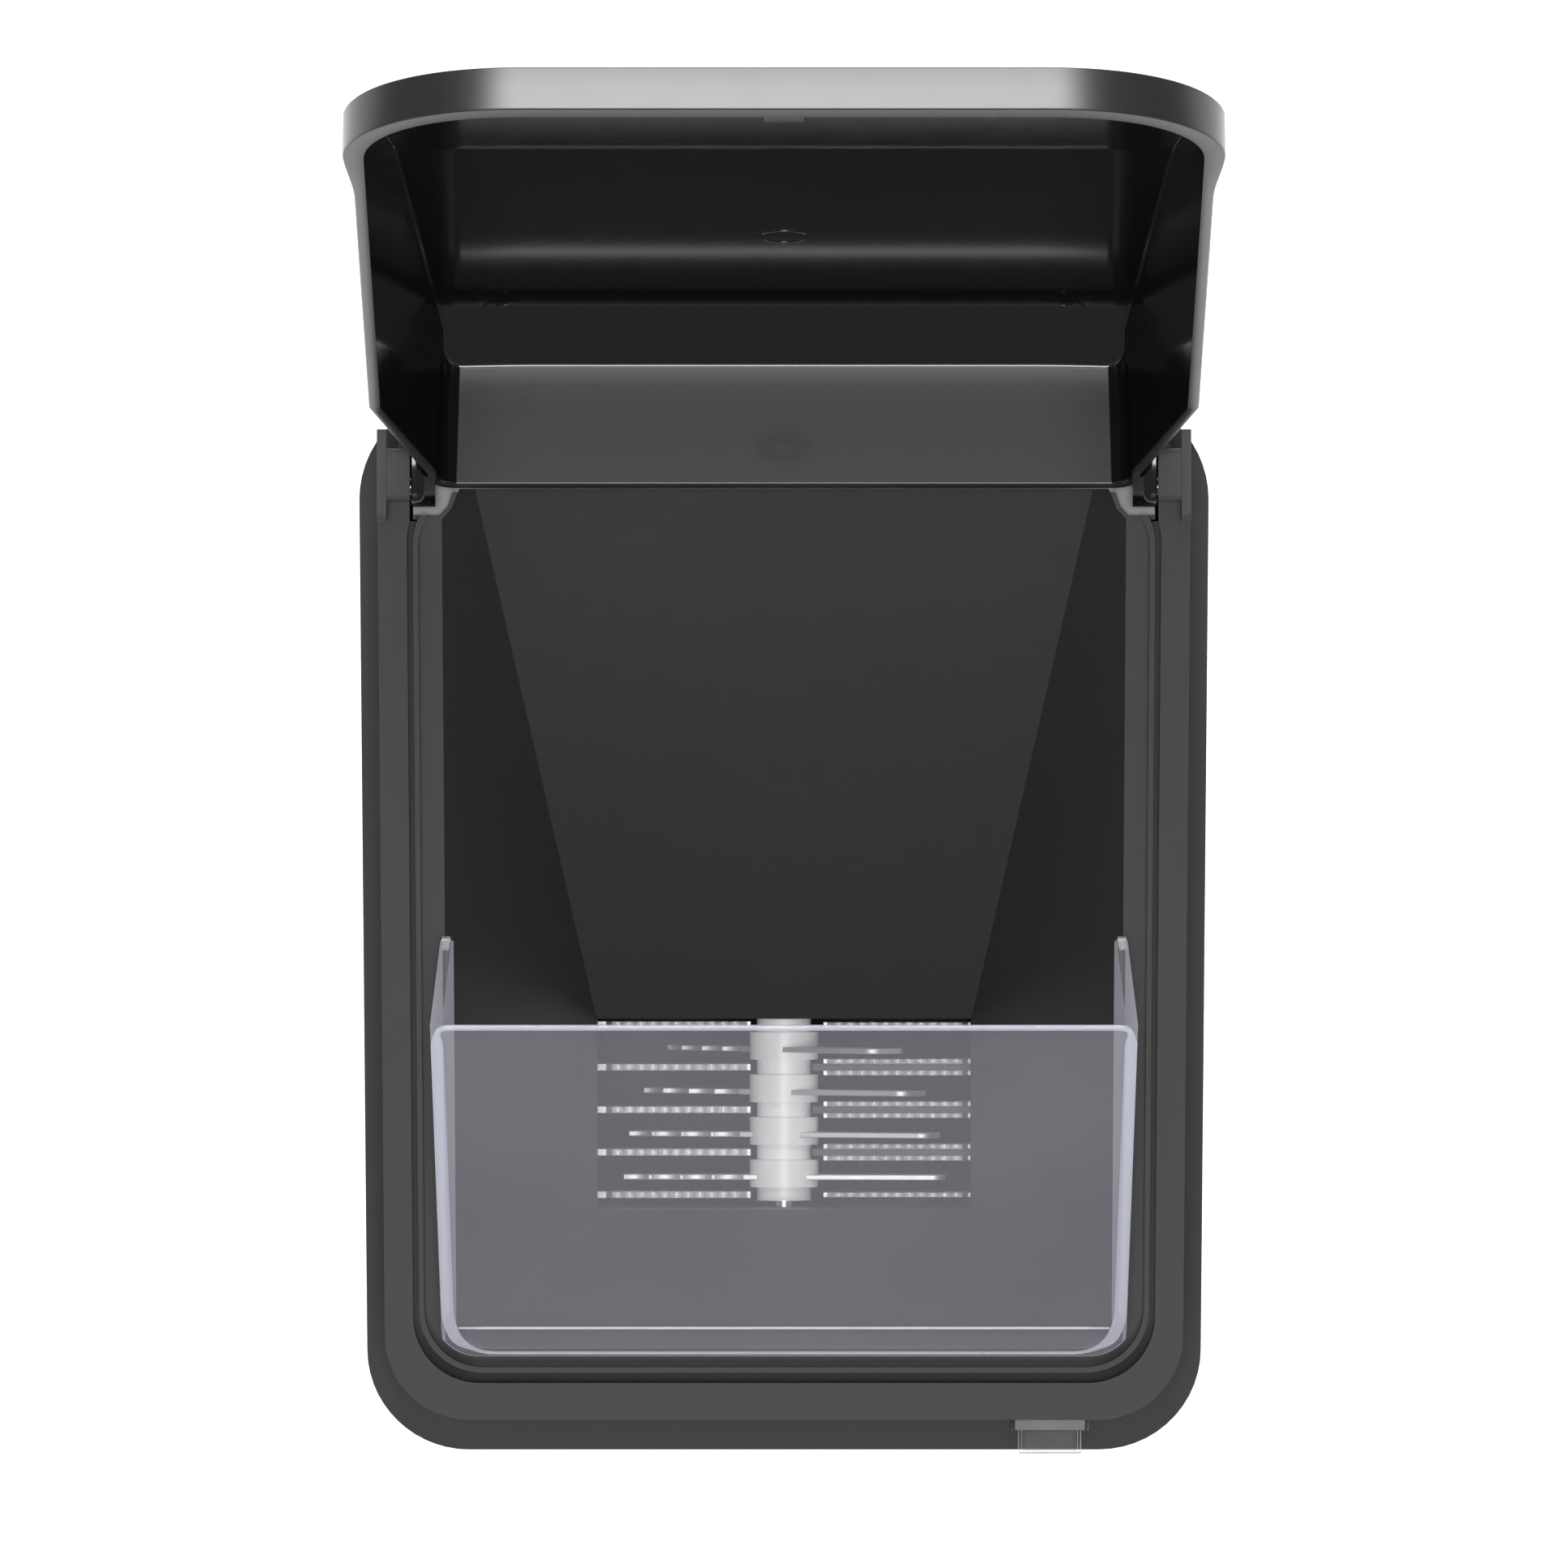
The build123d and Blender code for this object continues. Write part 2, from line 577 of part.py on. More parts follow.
def funnel_planes():
    """Points and outward normals of the hopper's sloping walls, right half and middle."""
    throat_rear = Vector(THROAT_HALF, THROAT_REAR, THROAT_HEIGHT)
    throat_front = Vector(THROAT_HALF, THROAT_FRONT, THROAT_HEIGHT)
    mouth_front = Vector(MOUTH_HALF, MOUTH_FRONT, deck_z(MOUTH_FRONT, -LEDGE_DROP))
    mouth_rear = Vector(MOUTH_HALF, MOUTH_REAR, deck_z(MOUTH_REAR, -LEDGE_DROP))
    panel_top = Vector(0, MOUTH_REAR, PANEL_TOP)
    across = Vector(1, 0, 0)
    side = (mouth_front - throat_rear).cross(mouth_rear - throat_rear)
    corner = (throat_front - throat_rear).cross(mouth_front - throat_rear)
    front = across.cross(mouth_front - throat_front)
    rear = across.cross(panel_top - Vector(0, THROAT_REAR, THROAT_HEIGHT))
    planes = []
    for point, normal in ((throat_rear, side), (throat_rear, corner)):
        outward = normal if normal.X > 0 else normal * -1
        planes.append((point, outward.normalized()))
        across_point = Vector(-point.X, point.Y, point.Z)
        planes.append((across_point, Vector(-outward.X, outward.Y, outward.Z).normalized()))
    planes.append((throat_front, (front if front.Y < 0 else front * -1).normalized()))
    planes.append((throat_rear, (rear if rear.Y > 0 else rear * -1).normalized()))
    return planes


def funnel(grow, rear, top):
    """Space inside the hopper's walls, widened by grow on every side."""
    core = block(
        -MOUTH_HALF - grow, MOUTH_HALF + grow, MOUTH_FRONT - grow, rear, THROAT_HEIGHT - THROAT_COLLAR, top
    )
    for point, outward in funnel_planes():
        core = split(core, Plane(origin=point + outward * grow, z_dir=outward), keep=Keep.BOTTOM)
    return core


def mouth_prism(grow):
    """Upright prism of the hopper's mouth, with bumps round the two hinge recesses."""
    half = MOUTH_HALF + grow
    outline = Polyline(
        (half, MOUTH_FRONT - grow),
        (half, HINGE_Y - 8.5),
        (half - 2.6, HINGE_Y - 5.6),
        (half - 4.6, HINGE_Y - 0.5),
        (half - 4.6, MOUTH_REAR + grow),
        (-half + 4.6, MOUTH_REAR + grow),
        (-half + 4.6, HINGE_Y - 0.5),
        (-half + 2.6, HINGE_Y - 5.6),
        (-half, HINGE_Y - 8.5),
        (-half, MOUTH_FRONT - grow),
        (half, MOUTH_FRONT - grow),
    )
    prism = Pos(0, 0, 200) * extrude(make_face(outline), 300)
    corners = prism.edges().filter_by(Axis.Z).group_by(Axis.Y)[0]
    return fillet(corners, HOPPER_CORNER + grow)


def hopper():
    """Funnel with its raised rim, recessed ledge, sloping walls and throat collar."""
    low = THROAT_HEIGHT - 20
    high = HINGE_HEIGHT + 40
    rim_outer = column(RIM_HALF, RIM_FRONT, HOPPER_REAR, HOPPER_CORNER + 4, low, high)
    rim_inner = column(LEDGE_HALF, LEDGE_FRONT, HOPPER_REAR - HOPPER_WALL, HOPPER_CORNER + 3, low, high)
    rim = over(under(rim_outer - rim_inner, 0), -SEAT)
    ledge = over(under(rim_outer, -LEDGE_DROP), -SEAT)
    rounded = column(
        MOUTH_HALF + HOPPER_WALL,
        MOUTH_FRONT - HOPPER_WALL,
        HOPPER_REAR + 60,
        HOPPER_CORNER + HOPPER_WALL,
        low,
        high,
    )
    walls = under(funnel(HOPPER_WALL, HOPPER_REAR, high), -LEDGE_DROP) & rounded
    corner = block(MOUTH_HALF - 6, RECESS_HALF - 0.8, HINGE_Y - 8.6, HOPPER_REAR, RECESS_FLOOR - 2, high)
    corner = under(corner, -LEDGE_DROP)
    body = rim + ledge + walls + corner + mirrored(corner)
    void = funnel(0.0, MOUTH_REAR, high) & mouth_prism(0.0)
    body -= void
    body -= block(-THROAT_HALF, THROAT_HALF, THROAT_FRONT, THROAT_REAR, low, THROAT_HEIGHT + 1)
    body -= ear_space(0.0)
    body -= mirrored(ear_space(0.0))
    body -= block(-RECESS_HALF, RECESS_HALF, MOUTH_REAR - 1, HOPPER_REAR + 5, HINGE_HEIGHT - 7, high)
    flange = block(-THROAT_HALF - 8, THROAT_HALF + 8, THROAT_FRONT - 6, THROAT_REAR + 3,
                   THROAT_HEIGHT - THROAT_COLLAR, THROAT_HEIGHT - THROAT_COLLAR + 2)
    flange -= block(-THROAT_HALF, THROAT_HALF, THROAT_FRONT, THROAT_REAR, low, high)
    body += flange
    for side in (-1, 1):
        x = side * guard_peg_x()
        notch = block(x - 1.6, x + 1.6, GUARD_TAIL - 2.6, GUARD_TAIL + 1.2,
                      deck_z(GUARD_TAIL, -SEAT - 0.1), deck_z(GUARD_TAIL, -LEDGE_DROP) + 3)
        body -= notch
    return body


# ----------------------------------------------------------------------------- clear splash guard


def guard_profile(grow):
    """Side outline of the guard from its front foot to its rear corner, drawn in from the outside."""
    lean = grow * 1.2
    return [
        (GUARD_FRONT + grow, deck_z(GUARD_FRONT, -LEDGE_DROP)),
        (GUARD_FRONT + grow, deck_z(GUARD_FRONT, -0.5)),
        (GUARD_BEND + lean, deck_z(GUARD_BEND, GUARD_BEND_RISE) - grow),
        (GUARD_REAR, deck_z(GUARD_REAR, GUARD_RISE) - grow * 1.05),
    ]


def splash_guard():
    """Clear cover over the front of the hopper: falling top sheet, leaning sides and locating pegs."""
    tail = [(GUARD_TAIL, deck_z(GUARD_TAIL, 0.4)), (GUARD_TAIL, deck_z(GUARD_TAIL, -LEDGE_DROP))]
    outer = guard_profile(0.0) + tail
    inner = guard_profile(GUARD_WALL)[1:]
    behind = GUARD_REAR + 60
    inner_tail = [
        (behind, deck_z(GUARD_REAR, GUARD_RISE) + 30),
        (behind, THROAT_HEIGHT),
        (inner[0][0], THROAT_HEIGHT),
    ]
    solid = along_x(make_face(Polyline(*outer, outer[0])), -BIG / 4, BIG / 4)
    hollow_points = inner + [(GUARD_REAR, deck_z(GUARD_REAR, GUARD_RISE + 20))] + inner_tail
    hollow = along_x(make_face(Polyline(*hollow_points, hollow_points[0])), -BIG / 4, BIG / 4)
    half = GUARD_HALF + GUARD_LEAN * GUARD_RISE
    low, high = THROAT_HEIGHT, HINGE_HEIGHT + 40
    plan = column(half, GUARD_FRONT, -GUARD_FRONT, GUARD_CORNER, low, high)
    inner_plan = column(
        half - GUARD_SIDE_WALL,
        GUARD_FRONT + GUARD_WALL,
        -GUARD_FRONT,
        GUARD_CORNER - GUARD_WALL,
        low,
        high,
    )
    body = solid & guard_wedge(GUARD_HALF) & plan
    body -= hollow & guard_wedge(GUARD_HALF - GUARD_SIDE_WALL) & inner_plan
    body = over(body, -LEDGE_DROP)
    for side in (-1, 1):
        x = side * guard_peg_x()
        peg = block(x - 1.2, x + 1.2, GUARD_TAIL - 2, GUARD_TAIL + 0.6,
                    deck_z(GUARD_TAIL, -SEAT + 0.4), deck_z(GUARD_TAIL, 0.2))
        body += peg
    return body


def guard_peg_x():
    """Distance of the guard's rear pegs from the middle plane."""
    return GUARD_HALF - GUARD_SIDE_WALL / 2


def guard_wedge(half):
    """Prism along the deck whose sides lean outwards going up."""
    low, high = -40.0, 60.0
    section = Polyline(
        (-half - GUARD_LEAN * low, low),
        (half + GUARD_LEAN * low, low),
        (half + GUARD_LEAN * high, high),
        (-half - GUARD_LEAN * high, high),
        (-half - GUARD_LEAN * low, low),
    )
    prism = extrude(make_face(section), BIG / 2, both=True)
    return DECK * Rot(90, 0, 0) * prism


# ----------------------------------------------------------------------------- lid


def lid_plan(grow, length):
    """Outline of the lid seen square to the deck, drawn past the rear so that its walls decide there."""
    tail = 16.0
    half = LID_HALF_WIDTH + grow
    outline = Polyline(
        (LID_TAIL_HALF + grow, tail),
        (LID_TAIL_HALF + grow, -LID_TAIL),
        (half, -LID_SHOULDER),
        (half, -length),
        (-half, -length),
        (-half, -LID_SHOULDER),
        (-LID_TAIL_HALF - grow, -LID_TAIL),
        (-LID_TAIL_HALF - grow, tail),
        (LID_TAIL_HALF + grow, tail),
    )
    sheet = make_face(outline)
    front = sheet.vertices().group_by(Axis.Y)[0]
    return fillet(front, LID_CORNER + grow)


def lid_section(thick, low, front):
    """Side outline of the lid, thickened outwards by thick."""
    (u0, _), (u1, w1), (u2, w2), (u3, w3), (u4, w4), (u5, w5) = LID_PROFILE
    points = [
        (u0 - thick, low),
        (u1 - thick, w1),
        (u2 - thick, w2 + thick * 0.4),
        (u3 - thick * 0.3, w3 + thick),
        (u4, w4 + thick * 1.02),
        (front, w5 + thick * 1.05 - (front - u5) * 0.25),
        (front, low),
    ]
    local = [(-u, w) for u, w in points]
    sheet = make_face(Polyline(*local, local[0]))
    knees = [v for v in sheet.vertices() if v.Y > w2 - 1]
    return fillet(knees, LID_BEND + thick)


def lid_solid(grow, thick, low, front, height):
    """One skin of the lid: drafted plan meets side outline, in the deck's own frame."""
    shrink = height * math.tan(math.radians(LID_DRAFT))
    upper = Pos(0, 0, height) * lid_plan(grow - shrink, front - shrink)
    plan = Pos(0, 0, low) * loft([lid_plan(grow, front).faces()[0], upper.faces()[0]], ruled=True)
    section = Plane(origin=(-BIG / 4, 0, 0), x_dir=(0, 1, 0), z_dir=(1, 0, 0)).location * extrude(
        lid_section(thick, low, front + (1 if grow < 0 else 0)), BIG / 2
    )
    return plan & section


def lid_shell():
    """Domed lid with grip lip, magnet pocket and two hinge ears, stored open."""
    outer = lid_solid(0.0, LID_WALL, LID_GAP, LID_LENGTH, 56)
    inner = lid_solid(-LID_WALL, 0.0, LID_GAP - 0.5, LID_LENGTH - LID_WALL, 56)
    shell = outer - inner
    band = Pos(0, 0, LID_GAP) * extrude(
        lid_plan(LID_LIP, LID_LENGTH + LID_LIP) - lid_plan(0.0, LID_LENGTH), LID_LIP_HEIGHT
    )
    foot = Pos(0, 0, LID_GAP) * extrude(
        lid_plan(0.2, LID_LENGTH + 0.2) - lid_plan(-LID_WALL, LID_LENGTH - LID_WALL), 2.4
    )
    near_front = Pos(0, -(LID_LIP_START + 100), 0) * Box(BIG, 200, 100)
    shell += (band + foot) & near_front
    pocket = lid_box(-8, 8, LID_LENGTH - 11, LID_LENGTH - 3, 0.8, 4.6)
    shell += pocket & (outer + lid_box(-8, 8, LID_LENGTH - 13.4, LID_LENGTH - 1, 0, 3))
    shell -= lid_magnet_local()
    shell = DECK * shell
    ear = ear_solid()
    shell += ear + mirrored(ear)
    shell -= pin(PIN_RADIUS + RUN_CLEAR, -FRAME_HALF, FRAME_HALF, HINGE_Y, HINGE_HEIGHT) & (
        block(EAR_INNER - 0.2, FRAME_HALF, 0, BIG, 0, BIG)
        + block(-FRAME_HALF, -EAR_INNER + 0.2, 0, BIG, 0, BIG)
    )
    return OPEN_LID * DECK.inverse() * shell


def lid_box(x0, x1, u0, u1, w0, w1):
    """Box in the deck's frame, given along and above the deck."""
    return block(x0, x1, -u1, -u0, w0, w1)


def lid_magnet_local():
    """Bar magnet in the deck's frame, with the lid closed."""
    return lid_box(-5, 5, LID_LENGTH - 9.4, LID_LENGTH - 4.8, 1.3, 3.0)


def lid_magnet():
    """Bar magnet that tells the reed switch the lid is shut."""
    return OPEN_LID * lid_magnet_local()


def ear_solid():
    """Right-hand hinge ear of the lid, in the closed position."""
    x1 = EAR_INNER + EAR_WIDTH
    hub = pin(EAR_RADIUS, EAR_INNER, x1, HINGE_Y, HINGE_HEIGHT)
    arm = DECK * lid_box(EAR_INNER - 3.6, x1, -3.6, 9.5, 0.6, 10.5)
    return hub + arm


# ----------------------------------------------------------------------------- crushing chamber


def comb_outline(start, end):
    """Bar from start to end in x, with a row of pointed teeth on its top edge."""
    first, last = sorted((start, end))
    points = [(first, COMB_BOTTOM), (first, COMB_TOP - TOOTH_DEPTH)]
    toothed = COMB_TEETH * TOOTH_PITCH
    left = first + 1.0 if first > 0 else last - 1.0 - toothed
    for tooth in range(COMB_TEETH):
        x = left + tooth * TOOTH_PITCH
        points.append((x, COMB_TOP - TOOTH_DEPTH))
        points.append((x + TOOTH_PITCH * 0.5, COMB_TOP))
    points.append((left + toothed, COMB_TOP - TOOTH_DEPTH))
    points.append((last, COMB_TOP - TOOTH_DEPTH))
    points.append((last, COMB_BOTTOM))
    return make_face(Polyline(*points, points[0]))


def plate(outline, y, thick):
    """Sheet of the given thickness centred on depth y."""
    return along_y(outline, y - thick / 2, y + thick / 2)


def tie_hole(side):
    """Hole for the tie rod through a comb's tail."""
    return rod(TIE_RADIUS + RUN_CLEAR, -BIG, BIG, side * TIE_X, SHAFT_HEIGHT - TIE_DROP)


def left_comb(row):
    """Fixed toothed plate that reaches in from the left wall."""
    outline = comb_outline(-THROAT_HALF - CHAMBER_WALL - COMB_TAIL - 2, -NECK_RADIUS - LEFT_COMB_GAP)
    body = plate(outline, COMB_PLANES[row], COMB_THICK)
    return body - tie_hole(-1)


def right_comb(row):
    """Fixed toothed plate from the right wall; the middle rows carry one on each face of a spacer."""
    outline = comb_outline(NECK_RADIUS + RIGHT_COMB_GAP, THROAT_HALF + CHAMBER_WALL + COMB_TAIL + 2)
    y = COMB_PLANES[row]
    offset = (CORE_THICK + BITE_THICK) / 2
    places = [y] if row in (0, COMB_ROWS - 1) else [y - offset, y + offset]
    return group([plate(outline, place, BITE_THICK) - tie_hole(1) for place in places])


def comb_spacers():
    """Plain bars between the paired right-hand plates."""
    start, end = NECK_RADIUS + SPACER_GAP, THROAT_HALF + CHAMBER_WALL + COMB_TAIL + 2
    outline = Pos((start + end) / 2, (COMB_BOTTOM + COMB_TOP - 1) / 2) * Rectangle(
        end - start, COMB_TOP - COMB_BOTTOM - 1
    )
    return group([plate(outline, y, CORE_THICK) - tie_hole(1) for y in COMB_PLANES[1:-1]])


def comb_tie_rods():
    """Two steel rods through the comb tails, outside the chamber walls."""
    rods = []
    for side in (-1, 1):
        x, z = side * TIE_X, SHAFT_HEIGHT - TIE_DROP
        bar = rod(TIE_RADIUS, COMB_PLANES[-1] - 5, COMB_PLANES[0] + 5, x, z)
        for y in (COMB_PLANES[-1] - 4.2, COMB_PLANES[0] + 4.2):
            bar += rod(TIE_RADIUS + 1.1, y - 0.9, y + 0.9, x, z)
        rods.append(bar)
    return group(rods)


def crusher_chamber():
    """Box round the spindle, open above and below, with slots for the comb tails."""
    top = THROAT_HEIGHT - THROAT_COLLAR
    wall = CHAMBER_WALL
    body = block(-THROAT_HALF - wall, THROAT_HALF + wall, THROAT_FRONT - wall, THROAT_REAR + wall,
                 CHAMBER_BOTTOM, top)
    flange = block(-THROAT_HALF - 8, THROAT_HALF + 8, THROAT_FRONT - 6, THROAT_REAR + wall, top - 3, top)
    body += flange
    body += block(-THROAT_HALF - 7, THROAT_HALF + 7, THROAT_FRONT - 6, THROAT_REAR + wall,
                  CHAMBER_BOTTOM, CHAMBER_BOTTOM + 3)
    body -= block(-THROAT_HALF, THROAT_HALF, THROAT_FRONT, THROAT_REAR, CHAMBER_BOTTOM - 1, top + 1)
    body -= rod(BUSH_RADIUS, THROAT_FRONT - 10, THROAT_REAR + 10, 0, SHAFT_HEIGHT)
    for row, y in enumerate(COMB_PLANES):
        inner_row = 0 < row < COMB_ROWS - 1
        right = (CORE_THICK / 2 + BITE_THICK) if inner_row else BITE_THICK / 2
        body -= block(-THROAT_HALF - wall - 1, -THROAT_HALF + 1, y - COMB_THICK / 2, y + COMB_THICK / 2,
                      COMB_BOTTOM, COMB_TOP)
        body -= block(THROAT_HALF - 1, THROAT_HALF + wall + 1, y - right, y + right, COMB_BOTTOM, COMB_TOP)
    return body


def bush(y_inner, direction):
    """Flanged plain bearing for the crusher shaft, its flange outside the chamber."""
    y0, y1 = sorted((y_inner, y_inner + direction * CHAMBER_WALL))
    f0, f1 = sorted((y_inner + direction * CHAMBER_WALL, y_inner + direction * (CHAMBER_WALL + 1.8)))
    body = rod(BUSH_RADIUS, y0, y1, 0, SHAFT_HEIGHT) + rod(BUSH_FLANGE, f0, f1, 0, SHAFT_HEIGHT)
    return body - rod(SHAFT_RADIUS + RUN_CLEAR, -BIG, BIG, 0, SHAFT_HEIGHT)


def ice_chute():
    """Sloping floor and sides that lead the crushed ice forward into the bin, with two floor ribs."""
    rear = THROAT_REAR + CHAMBER_WALL
    floor_points = [
        (rear, CHUTE_TOP_Z),
        (CHUTE_LIP_Y, CHUTE_LIP_Z),
        (CHUTE_LIP_Y, CHUTE_LIP_Z - CHUTE_WALL),
        (rear, CHUTE_TOP_Z - CHUTE_WALL * 1.3),
    ]
    half = THROAT_HALF + CHUTE_WALL
    floor = along_x(make_face(Polyline(*floor_points, floor_points[0])), -half, half)
    cheek_points = [
        (rear, CHAMBER_BOTTOM),
        (rear, CHUTE_TOP_Z - CHUTE_WALL),
        (CHUTE_LIP_Y, CHUTE_LIP_Z - CHUTE_WALL),
        (CHUTE_LIP_Y, CHAMBER_BOTTOM),
    ]
    cheek = along_x(make_face(Polyline(*cheek_points, cheek_points[0])), THROAT_HALF, half)
    rear_wall = block(-half, half, THROAT_REAR, rear, CHUTE_TOP_Z - 3, CHAMBER_BOTTOM)
    body = floor + cheek + mirrored(cheek) + rear_wall
    rib_points = [
        (rear - 4, CHUTE_TOP_Z - 4),
        (rear - 8, CHUTE_TOP_Z - 6 + RIB_HEIGHT),
        (CHUTE_LIP_Y + 8, CHUTE_LIP_Z + 6 + RIB_HEIGHT),
        (CHUTE_LIP_Y + 3, CHUTE_LIP_Z + 1),
    ]
    rib = along_x(make_face(Polyline(*rib_points, rib_points[0])), RIB_INNER, RIB_OUTER)
    return body + rib + mirrored(rib)


# ----------------------------------------------------------------------------- crusher spindle


def arm_outline():
    """Flat two-ended arm with scallops on one long edge of each half."""
    body = RectangleRounded(2 * ARM_REACH, ARM_WIDTH, 3.0)
    step = (ARM_REACH - COLLAR_RADIUS) / SCALLOPS
    for index in range(SCALLOPS):
        x = COLLAR_RADIUS + step * (index + 0.5) + 0.8
        depth = ARM_WIDTH / 2 + SCALLOP_RADIUS - 1.9
        body -= Pos(-x, depth) * Circle(SCALLOP_RADIUS)
        body -= Pos(x, -depth) * Circle(SCALLOP_RADIUS)
    return body - Circle(SHAFT_RADIUS)


def crusher_arm(index):
    """One steel arm, turned to its own angle about the shaft."""
    outline = Pos(0, SHAFT_HEIGHT) * Rot(0, 0, ARM_ANGLES[index]) * arm_outline()
    return plate(outline, ARM_PLANES[index], ARM_THICK)


def crusher_spindle():
    """Moulded sleeve with four collars that grip the arms."""
    y0 = COMB_PLANES[-1] - 1.6
    y1 = COMB_PLANES[0] + 1.6
    body = rod(NECK_RADIUS, y0, y1, 0, SHAFT_HEIGHT)
    for plane in COMB_PLANES[:-1]:
        middle = plane - COMB_PITCH / 2
        body += rod(COLLAR_RADIUS, middle - COLLAR_LENGTH / 2, middle + COLLAR_LENGTH / 2, 0, SHAFT_HEIGHT)
    body -= rod(SHAFT_RADIUS, y0 - 1, y1 + 1, 0, SHAFT_HEIGHT)
    for index, plane in enumerate(ARM_PLANES):
        turned = Pos(0, SHAFT_HEIGHT) * Rot(0, 0, ARM_ANGLES[index])
        slot = turned * Rectangle(3 * COLLAR_RADIUS, ARM_WIDTH)
        body -= plate(slot, plane, ARM_THICK)
    return body


def drive_shaft():
    """Steel shaft from the front bush to the gearbox's rear plate."""
    front = THROAT_FRONT - CHAMBER_WALL - 1.8 - 1.0
    return rod(SHAFT_RADIUS, front, GEARBOX_REAR - 1.5, 0, SHAFT_HEIGHT)


def spindle_clip():
    """Ring on the shaft's front end, just clear of the front bush."""
    y1 = THROAT_FRONT - CHAMBER_WALL - 1.8 - MOVE_CLEAR
    ring = rod(SHAFT_RADIUS + 2.5, y1 - 1.2, y1, 0, SHAFT_HEIGHT)
    return ring - rod(SHAFT_RADIUS, y1 - 5, y1 + 5, 0, SHAFT_HEIGHT)


# ----------------------------------------------------------------------------- gears


def gear_outline(teeth, module, tooth_angle, bore):
    """Involute gear outline with one tooth centred on tooth_angle, in degrees."""
    pitch = module * teeth / 2
    base = pitch * math.cos(math.radians(PRESSURE_ANGLE))
    tip = pitch + module * 0.92
    root = pitch - module * 1.2
    pressure = math.radians(PRESSURE_ANGLE)
    half = math.pi / (2 * teeth) - BACKLASH / (2 * pitch) + math.tan(pressure) - pressure
    flank = []
    for step in range(4):
        radius = max(base, root) + (tip - max(base, root)) * step / 3
        roll = math.acos(min(1.0, base / radius))
        flank.append((radius, half - (math.tan(roll) - roll)))
    points = []
    for tooth in range(teeth):
        centre = math.radians(tooth_angle) + 2 * math.pi * tooth / teeth
        side = [(root, flank[0][1])] + flank if root < flank[0][0] - 0.02 else flank
        for radius, angle in side:
            points.append((radius * math.cos(centre - angle), radius * math.sin(centre - angle)))
        for radius, angle in reversed(side):
            points.append((radius * math.cos(centre + angle), radius * math.sin(centre + angle)))
    return make_face(Polyline(*points, points[0])) - Circle(bore)


def output_gear():
    """Large gear on the crusher shaft."""
    outline = Pos(0, SHAFT_HEIGHT) * gear_outline(LARGE_TEETH, CRUSHER_MODULE, -90, SHAFT_RADIUS)
    hub = rod(SHAFT_RADIUS + 4, SLOW_PLANE - 1, SLOW_PLANE + GEAR_FACE + 1, 0, SHAFT_HEIGHT)
    hub -= rod(SHAFT_RADIUS, SLOW_PLANE - 5, SLOW_PLANE + GEAR_FACE + 5, 0, SHAFT_HEIGHT)
    return along_y(outline, SLOW_PLANE, SLOW_PLANE + GEAR_FACE) + hub


def idler_gear():
    """Compound gear: the small wheel drives the output gear, the large one meets the motor pinion."""
    gap_up = 90 + 180 / SMALL_TEETH
    bore = MOTOR_SHAFT + RUN_CLEAR
    small = Pos(0, IDLER_HEIGHT) * gear_outline(SMALL_TEETH, CRUSHER_MODULE, gap_up, bore)
    large = Pos(0, IDLER_HEIGHT) * gear_outline(LARGE_TEETH, MOTOR_MODULE, -90, bore)
    body = along_y(small, SLOW_PLANE - 0.5, FAST_PLANE)
    return body + along_y(large, FAST_PLANE, FAST_PLANE + FAST_FACE)


def motor_pinion():
    """Small gear on the motor shaft."""
    gap_up = 90 + 180 / SMALL_TEETH
    outline = Pos(0, MOTOR_HEIGHT) * gear_outline(SMALL_TEETH, MOTOR_MODULE, gap_up, MOTOR_SHAFT)
    return along_y(outline, FAST_PLANE - 0.5, FAST_PLANE + FAST_FACE + 0.5)


def gearbox_outline(grow):
    """Pear-shaped outline round the three gears."""
    big = CRUSHER_MODULE * LARGE_TEETH / 2 + 2.6 + grow
    mid = MOTOR_MODULE * LARGE_TEETH / 2 + 2.6 + grow
    low = MOTOR_MODULE * SMALL_TEETH / 2 + 4.0 + grow
    circles = Pos(0, SHAFT_HEIGHT) * Circle(big) + Pos(0, IDLER_HEIGHT) * Circle(mid)
    circles += Pos(0, MOTOR_HEIGHT) * Circle(low)
    upper, lower = SHAFT_HEIGHT - IDLER_HEIGHT, IDLER_HEIGHT - MOTOR_HEIGHT
    circles += Pos(0, IDLER_HEIGHT + upper / 2) * Rectangle(2 * mid * 0.98, upper)
    circles += Pos(0, MOTOR_HEIGHT + lower / 2) * Rectangle(2 * low, lower)
    return circles


def gearbox_screw_places():
    """Lugs at the edge of the gearbox, given in x and z."""
    reach = (CRUSHER_MODULE * LARGE_TEETH / 2 + 8.2) / math.sqrt(2)
    side = MOTOR_MODULE * LARGE_TEETH / 2 + 8.0
    return [
        (-reach, SHAFT_HEIGHT + reach),
        (reach, SHAFT_HEIGHT + reach),
        (-side, IDLER_HEIGHT - 10),
        (side, IDLER_HEIGHT - 10),
    ]


